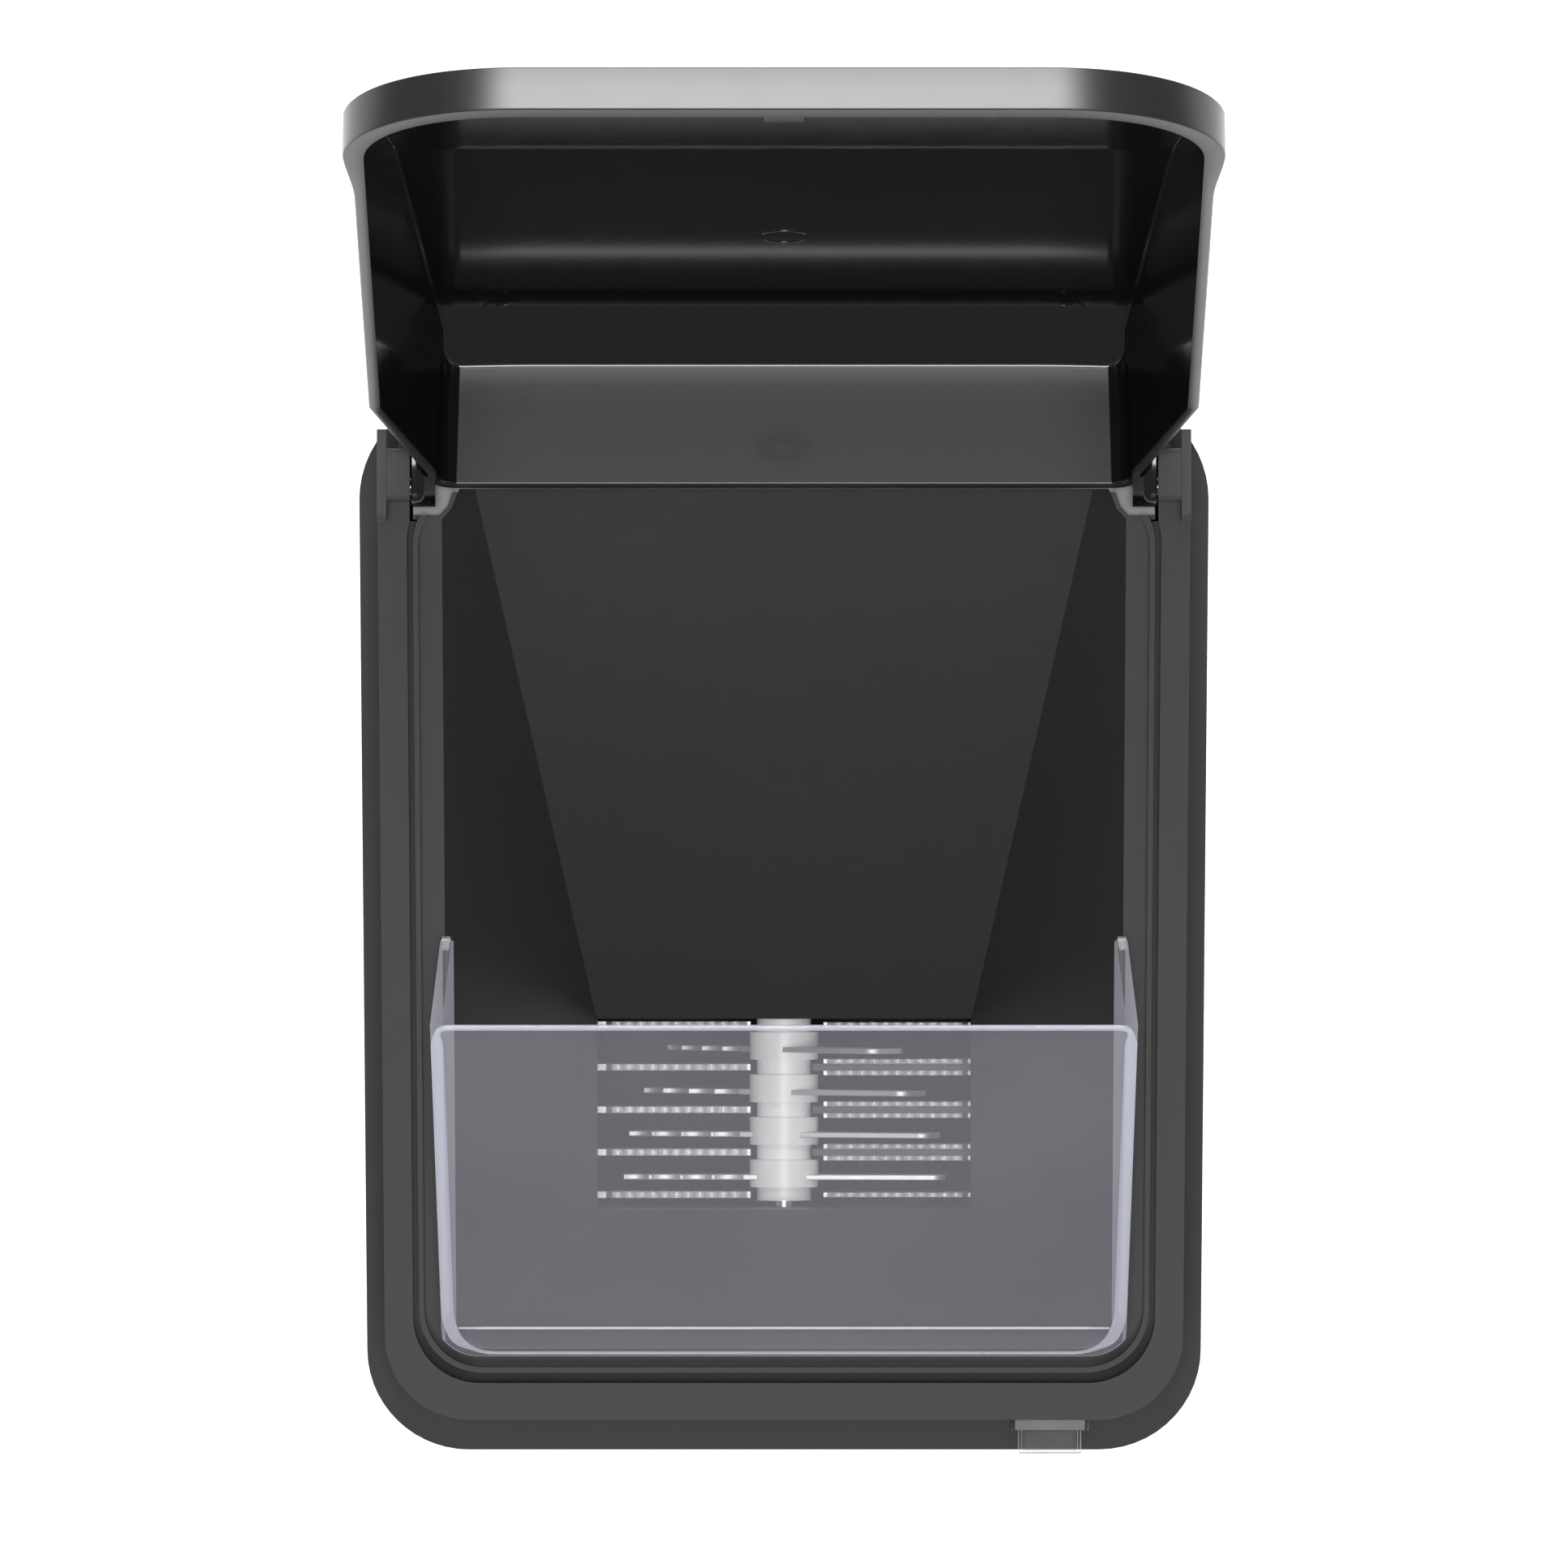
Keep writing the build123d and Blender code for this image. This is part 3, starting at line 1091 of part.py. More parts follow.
def gearbox_case():
    """Front half of the gearbox: cup against the rear wall of the chamber."""
    lugs = gearbox_outline(GEARBOX_WALL)
    for x, z in gearbox_screw_places():
        lugs += Pos(x, z) * Circle(LUG_RADIUS)
    rear = GEARBOX_REAR - GEARBOX_WALL
    body = along_y(lugs, GEARBOX_FRONT, rear)
    body -= along_y(gearbox_outline(0.0), GEARBOX_FRONT + GEARBOX_WALL, rear + 1)
    body -= rod(BUSH_FLANGE + 0.3, GEARBOX_FRONT - 1, GEARBOX_FRONT + GEARBOX_WALL + 1, 0, SHAFT_HEIGHT)
    body -= rod(MOTOR_SHAFT, GEARBOX_FRONT + 1, GEARBOX_REAR - 1, 0, IDLER_HEIGHT)
    for x, z in gearbox_screw_places():
        body -= rod(SCREW_RADIUS, rear - 9, rear + 1, x, z)
    point, outward = funnel_planes()[-1]
    below_panel = Plane(origin=point + outward * (HOPPER_WALL + MOVE_CLEAR), z_dir=outward)
    return split(body, below_panel, keep=Keep.TOP)


def gearbox_cover():
    """Rear plate of the gearbox, which also carries the motor."""
    lugs = gearbox_outline(GEARBOX_WALL)
    for x, z in gearbox_screw_places():
        lugs += Pos(x, z) * Circle(LUG_RADIUS)
    body = along_y(lugs, GEARBOX_REAR - GEARBOX_WALL, GEARBOX_REAR)
    body -= rod(SHAFT_RADIUS + RUN_CLEAR, GEARBOX_REAR - 5, GEARBOX_REAR - 1.2, 0, SHAFT_HEIGHT)
    body -= rod(MOTOR_SHAFT, GEARBOX_REAR - 5, GEARBOX_REAR - 1, 0, IDLER_HEIGHT)
    body -= rod(MOTOR_SHAFT + 1, GEARBOX_REAR - 5, GEARBOX_REAR + 2, 0, MOTOR_HEIGHT)
    for x, z in gearbox_screw_places():
        body -= rod(SCREW_RADIUS, GEARBOX_REAR - 9, GEARBOX_REAR + 1, x, z)
    return body


def idler_axle():
    """Steel pin across the gearbox that the compound gear turns on."""
    return rod(MOTOR_SHAFT, GEARBOX_FRONT + 1, GEARBOX_REAR - 1, 0, IDLER_HEIGHT)


def gearbox_screws():
    """Four screws through the cover's lugs."""
    screws = []
    for x, z in gearbox_screw_places():
        shank = rod(SCREW_RADIUS, GEARBOX_REAR - 10, GEARBOX_REAR, x, z)
        screws.append(shank + rod(SCREW_HEAD, GEARBOX_REAR, GEARBOX_REAR + 2.4, x, z))
    return group(screws)


# ----------------------------------------------------------------------------- motor


def motor_case():
    """Motor can with vent slots, its front face against the gearbox cover."""
    body = rod(MOTOR_RADIUS, GEARBOX_REAR, MOTOR_REAR, 0, MOTOR_HEIGHT)
    body -= rod(MOTOR_RADIUS - MOTOR_WALL, GEARBOX_REAR + 2.5, MOTOR_REAR - 2.5, 0, MOTOR_HEIGHT)
    body -= rod(BEARING_RADIUS, GEARBOX_REAR - 1, MOTOR_REAR + 1, 0, MOTOR_HEIGHT)
    for x, z in gearbox_screw_places():
        body -= rod(SCREW_HEAD + 0.4, GEARBOX_REAR - 1, GEARBOX_REAR + 3, x, z)
    for index in range(8):
        angle = math.radians(45 * index + 22.5)
        x = 25 * math.cos(angle)
        z = MOTOR_HEIGHT + 25 * math.sin(angle)
        body -= rod(5.0, MOTOR_REAR - 4, MOTOR_REAR + 1, x, z)
    return body


def motor_stator():
    """Laminated stack with its windings, held in the can."""
    front, rear = MOTOR_MIDDLE - ROTOR_LENGTH / 2, MOTOR_MIDDLE + ROTOR_LENGTH / 2
    outer = rod(MOTOR_RADIUS - MOTOR_WALL, front, rear, 0, MOTOR_HEIGHT)
    coil = rod(MOTOR_RADIUS - 7, front - 9, rear + 9, 0, MOTOR_HEIGHT)
    body = outer + coil
    return body - rod(STATOR_INNER, -BIG, BIG, 0, MOTOR_HEIGHT)


def motor_bearings():
    """Front and rear bearings in the ends of the can."""
    rings = []
    bore = rod(MOTOR_SHAFT + RUN_CLEAR, -BIG, BIG, 0, MOTOR_HEIGHT)
    for y0 in (GEARBOX_REAR, MOTOR_REAR - BEARING_LENGTH):
        rings.append(rod(BEARING_RADIUS, y0, y0 + BEARING_LENGTH, 0, MOTOR_HEIGHT) - bore)
    return group(rings)


def rotor_core():
    """Rotor pack on the motor shaft."""
    front, rear = MOTOR_MIDDLE - ROTOR_LENGTH / 2, MOTOR_MIDDLE + ROTOR_LENGTH / 2
    return rod(ROTOR_RADIUS, front, rear, 0, MOTOR_HEIGHT) - rod(MOTOR_SHAFT, -BIG, BIG, 0, MOTOR_HEIGHT)


def motor_shaft():
    """Motor shaft from the pinion to the fan."""
    return rod(MOTOR_SHAFT, FAST_PLANE - 0.5, MOTOR_REAR + FAN_WIDTH + 1.5, 0, MOTOR_HEIGHT)


def cooling_fan():
    """Radial fan behind the motor."""
    y0 = MOTOR_REAR + 1.5
    disc = rod(FAN_RADIUS, y0, y0 + 1.2, 0, MOTOR_HEIGHT) + rod(7, y0, y0 + FAN_WIDTH, 0, MOTOR_HEIGHT)
    for index in range(FAN_BLADES):
        blade = Rot(0, 360 * index / FAN_BLADES, 0) * block(6, FAN_RADIUS, 0, FAN_WIDTH - 0.4, -0.6, 0.6)
        disc += Pos(0, y0, MOTOR_HEIGHT) * blade
    return disc - rod(MOTOR_SHAFT, -BIG, BIG, 0, MOTOR_HEIGHT)


def motor_cradle():
    """Hollow saddle that stands on the base plate and carries the motor can."""
    half = MOTOR_RADIUS - 4
    front, rear = GEARBOX_REAR + 22, MOTOR_REAR - 17
    body = block(-half, half, front, rear, BASE_TOP, MOTOR_HEIGHT - 18)
    body -= block(-half + 3, half - 3, front - 1, rear + 1, BASE_TOP + 3, MOTOR_HEIGHT - MOTOR_RADIUS - 6)
    return body - rod(MOTOR_RADIUS, -BIG, BIG, 0, MOTOR_HEIGHT)


# ----------------------------------------------------------------------------- electrics


def control_board():
    """Start and overload board on the left wall of the motor space."""
    x = -BODY_HALF + SHELL_WALL
    y0 = GEARBOX_REAR + 22
    board = block(x + 6, x + 7.6, y0, y0 + 70, 60, 115)
    for y in (y0 + 6, y0 + 64):
        for z in (66, 109):
            board += pin(2.5, x, x + 6, y, z)
    board += block(x + 7.6, x + 24, y0 + 10, y0 + 32, 70, 90)
    board += block(x + 7.6, x + 20, y0 + 40, y0 + 62, 72, 104)
    return board


def reed_switch():
    """Lid switch under the frame's front face, below the closed lid's magnet."""
    y0 = FRAME_FRONT + FRAME_WALL + 1.0
    y1 = FACE_FRONT - 2.4
    return under(block(-9, 9, y0, y1, deck_z(y0, -9), deck_z(y1, 2)), -FRAME_WALL)


def switch_body(grow):
    """Barrel of the rocker switch behind the frame's front wall."""
    z = switch_z()
    half, rise = SWITCH_BARREL_WIDTH / 2 + grow, SWITCH_BARREL_HEIGHT / 2 + grow
    return block(SWITCH_X - half, SWITCH_X + half, FRAME_FRONT - 0.01, FRAME_FRONT + 7.4, z - rise, z + rise)


def switch_z():
    """Height of the switch's centre on the front wall."""
    return deck_z(FRAME_FRONT, -FRAME_HEIGHT / 2)


def switch_housing():
    """Bezel and barrel of the rocker switch."""
    z = switch_z()
    outline = Pos(SWITCH_X, z) * RectangleRounded(SWITCH_WIDTH, SWITCH_HEIGHT, 1.2)
    bezel = along_y(outline, FRAME_FRONT - SWITCH_RIM, FRAME_FRONT)
    body = bezel + switch_body(0.0)
    window = Pos(SWITCH_X, z) * Rectangle(14.4, 9.4)
    body -= along_y(window, FRAME_FRONT - 5, FRAME_FRONT + 6)
    return body - post(1.0 + RUN_CLEAR, z - 5.3, z + 5.3, SWITCH_X, FRAME_FRONT - ROCKER_INSET)


def rocker():
    """Rocker of the switch, at rest tilted to its off side, on a pivot that stands upright."""
    z = switch_z()
    half = 6.6
    points = [
        (-half, -1.2),
        (-half * 0.5, -2.0),
        (0, -1.2),
        (half * 0.5, -2.0),
        (half, -1.2),
        (half - 1.4, 3.4),
        (-half + 1.4, 3.4),
    ]
    body = extrude(make_face(Polyline(*points, points[0])), 8.8)
    body = Pos(0, 0, -4.4) * body
    body += post(1.0, -5.2, 5.2)
    return Pos(SWITCH_X, FRAME_FRONT - ROCKER_INSET, z) * Rot(0, 0, -ROCKER_TILT) * body


def switch_cap():
    """Clear splash cap clipped round the switch."""
    z = switch_z()
    y1 = FRAME_FRONT - SWITCH_RIM
    y0 = y1 - CAP_REACH
    outer = along_y(Pos(SWITCH_X, z) * RectangleRounded(CAP_WIDTH, CAP_HEIGHT, 1.6), y0, y1)
    inner = along_y(
        Pos(SWITCH_X, z) * RectangleRounded(CAP_WIDTH - 2 * CAP_WALL, CAP_HEIGHT - 2 * CAP_WALL, 1.0),
        y0 + CAP_WALL,
        y1 + 1,
    )
    return outer - inner


# ----------------------------------------------------------------------------- bin


def bin_bay():
    """Liner that the bin slides in: floor, sides and rear wall."""
    half = PORT_HALF + BAY_WALL
    front = BAY_FRONT
    rear = BIN_REAR + 4
    body = block(-half, half, front, rear, PORT_BOTTOM - BAY_WALL, PORT_TOP)
    body -= block(-PORT_HALF, PORT_HALF, front - 1, rear - BAY_WALL, PORT_BOTTOM, PORT_TOP + 1)
    for x in (-60.0, 60.0):
        body += block(x - 8, x + 8, front + 6, rear - 6, BASE_TOP, PORT_BOTTOM - BAY_WALL)
        body += block(x - 4, x + 4, front, rear - BAY_WALL, PORT_BOTTOM, BIN_FLOOR - 0.3)
    return body


def ice_bin():
    """Clear drawer tub that catches the crushed ice."""
    front = BIN_FRONT
    body = block(-BIN_HALF, BIN_HALF, front, BIN_REAR, BIN_FLOOR, BIN_TOP)
    body = fillet(body.edges().filter_by(Axis.Z).group_by(Axis.Y)[-1], BIN_CORNER)
    cavity = block(-BIN_HALF + BIN_WALL, BIN_HALF - BIN_WALL, front + BIN_WALL, BIN_REAR - BIN_WALL,
                   BIN_FLOOR + BIN_WALL, BIN_TOP + 1)
    cavity = fillet(cavity.edges().filter_by(Axis.Z).group_by(Axis.Y)[-1], BIN_CORNER - BIN_WALL)
    return body - cavity


def bin_front():
    """Front panel of the drawer: a shallow finger scoop with a grip lip over it."""
    front = BIN_FRONT - BIN_FRONT_THICK
    middle = (PORT_BOTTOM + PORT_TOP) / 2
    outline = Pos(0, middle) * RectangleRounded(2 * PORT_HALF - 1.2, PORT_TOP - PORT_BOTTOM - 1.2, 4.4)
    panel = along_y(outline, front, BIN_FRONT)
    grip_middle = PORT_TOP - GRIP_DROP
    scoop_middle = grip_middle - GRIP_HEIGHT / 2 - SCOOP_HEIGHT / 2
    scoop_outline = Pos(0, scoop_middle) * SlotOverall(SCOOP_WIDTH, SCOOP_HEIGHT)
    scoop = along_y(scoop_outline, front - 1, front + SCOOP_DEPTH)
    grip = along_y(Pos(0, grip_middle) * SlotOverall(GRIP_WIDTH, GRIP_HEIGHT), front - GRIP_REACH, front)
    return panel - scoop + grip


# ----------------------------------------------------------------------------- write the nodes


def main():
    """Build every node and write it."""
    os.makedirs("parts", exist_ok=True)
    save("lower_housing", lower_housing())
    save("base_plate", base_plate())
    save("rubber_feet", rubber_feet())
    save("foot_screws", foot_screws())
    save("inlet_socket", inlet_socket())
    save("top_frame", top_frame())
    save("left_hinge_block", hinge_block(-1))
    save("right_hinge_block", hinge_block(1))
    save("hinge_pins", hinge_pins())
    save("hopper", hopper())
    save("splash_guard", splash_guard())
    save("lid_shell", lid_shell())
    save("lid_magnet", lid_magnet())
    for row in range(COMB_ROWS):
        save(f"left_comb_{row + 1}", left_comb(row))
        save(f"right_comb_{row + 1}", right_comb(row))
    save("comb_spacers", comb_spacers())
    save("comb_tie_rods", comb_tie_rods())
    save("crusher_chamber", crusher_chamber())
    save("front_bush", bush(THROAT_FRONT, -1))
    save("rear_bush", bush(THROAT_REAR, 1))
    save("ice_chute", ice_chute())
    for index in range(len(ARM_ANGLES)):
        save(f"crusher_arm_{index + 1}", crusher_arm(index))
    save("crusher_spindle", crusher_spindle())
    save("drive_shaft", drive_shaft())
    save("spindle_clip", spindle_clip())
    save("output_gear", output_gear())
    save("idler_gear", idler_gear())
    save("idler_axle", idler_axle())
    save("motor_pinion", motor_pinion())
    save("gearbox_case", gearbox_case())
    save("gearbox_cover", gearbox_cover())
    save("gearbox_screws", gearbox_screws())
    save("motor_case", motor_case())
    save("motor_stator", motor_stator())
    save("motor_bearings", motor_bearings())
    save("rotor_core", rotor_core())
    save("motor_shaft", motor_shaft())
    save("cooling_fan", cooling_fan())
    save("motor_cradle", motor_cradle())
    save("control_board", control_board())
    save("reed_switch", reed_switch())
    save("switch_housing", switch_housing())
    save("rocker", rocker())
    save("switch_cap", switch_cap())
    save("bin_bay", bin_bay())
    save("ice_bin", ice_bin())
    save("bin_front", bin_front())


if __name__ == "__main__":
    main()
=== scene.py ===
"""Studio scene of a countertop ice crusher with its lid open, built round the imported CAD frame.

Everything is in metres in the CAD's own frame: X to the user's right, +Y to the rear, +Z up.
"Deck" coordinates are (x, u, w): u runs from the hinge axis down the tilted deck to the front and
w stands square on the deck.
"""

import json
import logging
import math
from dataclasses import dataclass, field
from enum import Enum
from typing import Iterable, Sequence, Union

import bmesh
import bpy
import numpy as np
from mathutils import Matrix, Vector


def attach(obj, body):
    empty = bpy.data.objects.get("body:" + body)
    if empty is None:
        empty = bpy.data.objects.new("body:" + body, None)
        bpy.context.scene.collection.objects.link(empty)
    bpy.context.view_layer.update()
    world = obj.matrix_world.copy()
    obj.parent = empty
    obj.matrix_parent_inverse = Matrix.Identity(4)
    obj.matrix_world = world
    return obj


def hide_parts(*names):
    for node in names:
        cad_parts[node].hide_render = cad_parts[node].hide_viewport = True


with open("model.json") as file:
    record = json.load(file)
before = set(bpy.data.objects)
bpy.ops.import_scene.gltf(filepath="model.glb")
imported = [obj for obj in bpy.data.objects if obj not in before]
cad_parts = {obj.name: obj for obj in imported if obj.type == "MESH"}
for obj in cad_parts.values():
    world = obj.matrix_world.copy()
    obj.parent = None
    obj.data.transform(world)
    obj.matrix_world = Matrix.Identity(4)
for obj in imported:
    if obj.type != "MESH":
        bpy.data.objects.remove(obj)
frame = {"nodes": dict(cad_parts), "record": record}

LOG = logging.getLogger("ice_crusher")
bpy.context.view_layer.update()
PLAIN_CREASE = 32.0  # degrees between two faces, above which an edge is rounded
MERGE_GAP = 2e-6
CAD_MERGE_GAP = 1e-6
FLAT_ANGLE = math.radians(0.5)
TINT_LOW = 0.86
TINT_HIGH = 1.12
Colour = tuple[float, float, float]
Operand = Union["Wire", float]


# --------------------------------------------------------------------------- shader building


class MathOp(Enum):
    """Scalar operations used by the finishes."""

    ADD = "ADD"
    SUBTRACT = "SUBTRACT"
    MULTIPLY = "MULTIPLY"
    POWER = "POWER"
    GREATER = "GREATER_THAN"


class Wire:
    """A shader output socket that can be combined with arithmetic operators."""

    def __init__(self, tree: bpy.types.NodeTree, socket: bpy.types.NodeSocket) -> None:
        """Remember the tree and the socket."""
        self.tree = tree
        self.socket = socket

    def _math(self, op: MathOp, first: Operand, second: Operand, clamp: bool = False) -> "Wire":
        """Add one math node.

        Args:
            op: the operation.
            first: left operand.
            second: right operand.
            clamp: keep the result between 0 and 1.

        Returns:
            The result's socket.
        """
        node = self.tree.nodes.new("ShaderNodeMath")
        node.operation = op.value
        node.use_clamp = clamp
        for index, operand in enumerate((first, second)):
            if isinstance(operand, Wire):
                self.tree.links.new(operand.socket, node.inputs[index])
            else:
                node.inputs[index].default_value = operand
        return Wire(self.tree, node.outputs[0])

    def __add__(self, other: Operand) -> "Wire":
        """Sum."""
        return self._math(MathOp.ADD, self, other)

    def __radd__(self, other: Operand) -> "Wire":
        """Sum, with the number on the left."""
        return self._math(MathOp.ADD, other, self)

    def __sub__(self, other: Operand) -> "Wire":
        """Difference."""
        return self._math(MathOp.SUBTRACT, self, other)

    def __rsub__(self, other: Operand) -> "Wire":
        """Difference, with the number on the left."""
        return self._math(MathOp.SUBTRACT, other, self)

    def __mul__(self, other: Operand) -> "Wire":
        """Product."""
        return self._math(MathOp.MULTIPLY, self, other)

    def __rmul__(self, other: Operand) -> "Wire":
        """Product, with the number on the left."""
        return self._math(MathOp.MULTIPLY, other, self)

    def __pow__(self, other: Operand) -> "Wire":
        """Power."""
        return self._math(MathOp.POWER, self, other)

    def __gt__(self, other: Operand) -> "Wire":
        """1 where the left side is larger."""
        return self._math(MathOp.GREATER, self, other)

    def clamped(self) -> "Wire":
        """The same value held between 0 and 1."""
        return self._math(MathOp.ADD, self, 0.0, clamp=True)


class Shader:
    """A Principled material under construction, with one method for every other node."""

    def __init__(self, name: str) -> None:
        """Start an empty material with a Principled BSDF and an output.

        Args:
            name: the material's name.
        """
        self.material = bpy.data.materials.new(name)
        self.material.use_nodes = True
        self.tree = self.material.node_tree
        self.tree.nodes.clear()
        self.bsdf = self.tree.nodes.new("ShaderNodeBsdfPrincipled")
        output = self.tree.nodes.new("ShaderNodeOutputMaterial")
        self.tree.links.new(self.bsdf.outputs["BSDF"], output.inputs["Surface"])

    def node(self, kind: str, output: str, **inputs: object) -> Wire:
        """Add a node, set or link its inputs and give back one output.

        Args:
            kind: the node's type name.
            output: name of the output to return.
            inputs: socket names, with underscores for spaces; lower-case names are node attributes.

        Returns:
            The named output.
        """
        made = self.tree.nodes.new(kind)
        for key, value in inputs.items():
            if key[0].islower():
                setattr(made, key, value)
                continue
            socket = made.inputs[key.replace("_", " ")]
            if isinstance(value, Wire):
                self.tree.links.new(value.socket, socket)
            else:
                socket.default_value = value
        return Wire(self.tree, made.outputs[output])

    def place(self, scale: Sequence[float] = (1.0, 1.0, 1.0)) -> Wire:
        """Object coordinates, stretched by a scale along each axis."""
        here = self.node("ShaderNodeTexCoord", "Object")
        return self.node("ShaderNodeMapping", "Vector", Vector=here, Scale=tuple(scale))

    def noise(
        self, scale: float, detail: float = 4.0, stretch: Sequence[float] = (1.0, 1.0, 1.0)
    ) -> Wire:
        """Fractal noise in object space, with its scale in cycles per metre."""
        return self.node(
            "ShaderNodeTexNoise", "Fac", Vector=self.place(stretch), Scale=scale, Detail=detail
        )

    def grain(self, scale: float) -> Wire:
        """Rounded cells, as a spark-eroded mould leaves in plastic."""
        return self.node("ShaderNodeTexVoronoi", "Distance", Vector=self.place(), Scale=scale)

    def blend(self, factor: Wire, first: Colour, second: Colour) -> Wire:
        """Mix two colours.

        Args:
            factor: 0 for the first colour, 1 for the second.
            first: linear colour.
            second: linear colour.

        Returns:
            The mixed colour.
        """
        mixer = self.tree.nodes.new("ShaderNodeMix")
        mixer.data_type = "RGBA"
        self.tree.links.new(factor.socket, mixer.inputs[0])
        mixer.inputs[6].default_value = (*first, 1.0)
        mixer.inputs[7].default_value = (*second, 1.0)
        return Wire(self.tree, mixer.outputs[2])

    def link(self, socket: str, value: Wire) -> None:
        """Feed one of the Principled inputs that may vary."""
        self.tree.links.new(value.socket, self.bsdf.inputs[socket])

    def bump(self, height: Wire, distance: float, strength: float) -> None:
        """Feed the normal from a height.

        Args:
            height: the height, between 0 and about 1.
            distance: metres that a height of 1 stands for.
            strength: share of the bump that is applied.
        """
        normal = self.node(
            "ShaderNodeBump", "Normal", Height=height, Distance=distance, Strength=strength
        )
        self.link("Normal", normal)

    def set(self, **values: object) -> None:
        """Set constant Principled inputs by name, with underscores for spaces."""
        for key, value in values.items():
            self.bsdf.inputs[key.replace("_", " ")].default_value = value


# --------------------------------------------------------------------------- finishes


@dataclass(frozen=True)
class MouldedPlastic:
    """Opaque injection-moulded plastic with fine grain, faint handling haze and dust in patches."""

    name: str
    tint: Colour
    roughness: float = 0.38
    haze: float = 0.08
    grain_size: float = 0.0006
    grain_depth: float = 0.00002
    gloss: float = 0.5

    def build(self) -> bpy.types.Material:
        """Make the material.

        Returns:
            A Principled material with cloudy roughness, faint tint drift and a grained normal.
        """
        shader = Shader(self.name)
        cloud = shader.noise(9.0, 3.0)
        rub = shader.noise(140.0, 6.0)
        drift = (cloud * 0.6 + rub * 0.4).clamped()
        darker = tuple(channel * TINT_LOW for channel in self.tint)
        lighter = tuple(channel * TINT_HIGH + 0.001 for channel in self.tint)
        shader.link("Base Color", shader.blend(drift, darker, lighter))
        patches = (cloud - 0.5) * self.haze + (rub - 0.5) * (self.haze * 0.7)
        shader.link("Roughness", patches + self.roughness)
        height = shader.grain(1.0 / self.grain_size) + shader.noise(0.7 / self.grain_size, 2.0) * 0.6
        shader.bump(height, self.grain_depth, 0.5)
        shader.set(Specular_IOR_Level=self.gloss)
        return shader.material


@dataclass(frozen=True)
class ClearPlastic:
    """Clear moulding: nearly see-through face on, denser and cooler at its edges, which also carry a
    painted highlight and glow with painted light.
    """

    name: str
    tint: Colour
    edge_tint_and_sheen: Colour
    haze: float
    edge_density: float = 0.75
    edge_power: float = 2.6
    roughness: float = 0.10
    # Strength of the painted glow at the edges: painted light from a part that is no lamp.
    glow: float = 0.0
    gloss: float = 1.0

    def build(self) -> bpy.types.Material:
        """Make the material.

        Returns:
            A material whose alpha is the haze plus edge_density times the facing value to edge_power.
        """
        shader = Shader(self.name)
        scratch = shader.noise(900.0, 2.0, (1.0, 0.06, 1.0))
        ripple = shader.noise(22.0, 1.0)
        facing = shader.node("ShaderNodeLayerWeight", "Facing", Blend=0.5)
        edge = facing ** self.edge_power
        lines = (scratch > 0.70) * 0.02
        density = edge * self.edge_density + (ripple - 0.5) * 0.02 + lines + self.haze
        shader.link("Alpha", density.clamped())
        # The edge colour is partly the plastic's own cooler tint and partly a painted highlight.
        shader.link("Base Color", shader.blend(edge.clamped(), self.tint, self.edge_tint_and_sheen))
        shader.link("Roughness", (scratch - 0.5) * 0.04 + self.roughness)
        shader.bump(ripple, 0.0002, 0.15)
        # Painted light: emission makes the edges glow, as a painted highlight.
        lit = tuple(channel * self.glow for channel in self.edge_tint_and_sheen)
        shader.link("Emission Color", shader.blend((facing ** 4.0).clamped(), (0.0, 0.0, 0.0), lit))
        shader.set(IOR=1.49, Specular_IOR_Level=self.gloss, Emission_Strength=1.0)
        return shader.material


@dataclass(frozen=True)
class WorkedSteel:
    """Steel with a directional finish."""

    name: str
    tint: Colour = (0.62, 0.62, 0.61)
    roughness: float = 0.28
    stretch: tuple[float, float, float] = (0.05, 1.0, 1.0)
    line_scale: float = 2600.0

    def build(self) -> bpy.types.Material:
        """Make the material.

        Returns:
            A metal whose roughness and normal follow fine parallel lines.
        """
        shader = Shader(self.name)
        lines = shader.noise(self.line_scale, 2.0, self.stretch)
        stain = shader.noise(60.0, 4.0)
        darker = tuple(channel * 0.8 for channel in self.tint)
        shader.link("Base Color", shader.blend(stain, darker, self.tint))
        shader.link("Roughness", (lines - 0.5) * 0.22 + (stain - 0.5) * 0.1 + self.roughness)
        shader.bump(lines, 0.00001, 0.3)
        shader.set(Metallic=1.0)
        return shader.material


@dataclass(frozen=True)
class Rubber:
    """Dull moulded rubber."""

    name: str
    tint: Colour = (0.018, 0.018, 0.019)

    def build(self) -> bpy.types.Material:
        """Make the material.

        Returns:
            The finished material.
        """
        shader = Shader(self.name)
        dust = shader.noise(220.0, 6.0)
        shader.link("Base Color", shader.blend(dust, self.tint, (0.05, 0.05, 0.05)))
        shader.link("Roughness", dust * 0.2 + 0.62)
        shader.bump(shader.grain(1800.0), 0.00004, 0.5)
        return shader.material


@dataclass(frozen=True)
class WoundCopper:
    """Lacquered copper windings seen as fine turns."""

    name: str

    def build(self) -> bpy.types.Material:
        """Make the material.

        Returns:
            The finished material.
        """
        shader = Shader(self.name)
        turns = shader.noise(1500.0, 1.0, (1.0, 0.1, 1.0))
        shader.link("Base Color", shader.blend(turns, (0.18, 0.05, 0.015), (0.62, 0.26, 0.09)))
        shader.link("Roughness", turns * 0.2 + 0.25)
        shader.bump(turns, 0.0002, 0.8)
        shader.set(Metallic=0.7)
        return shader.material


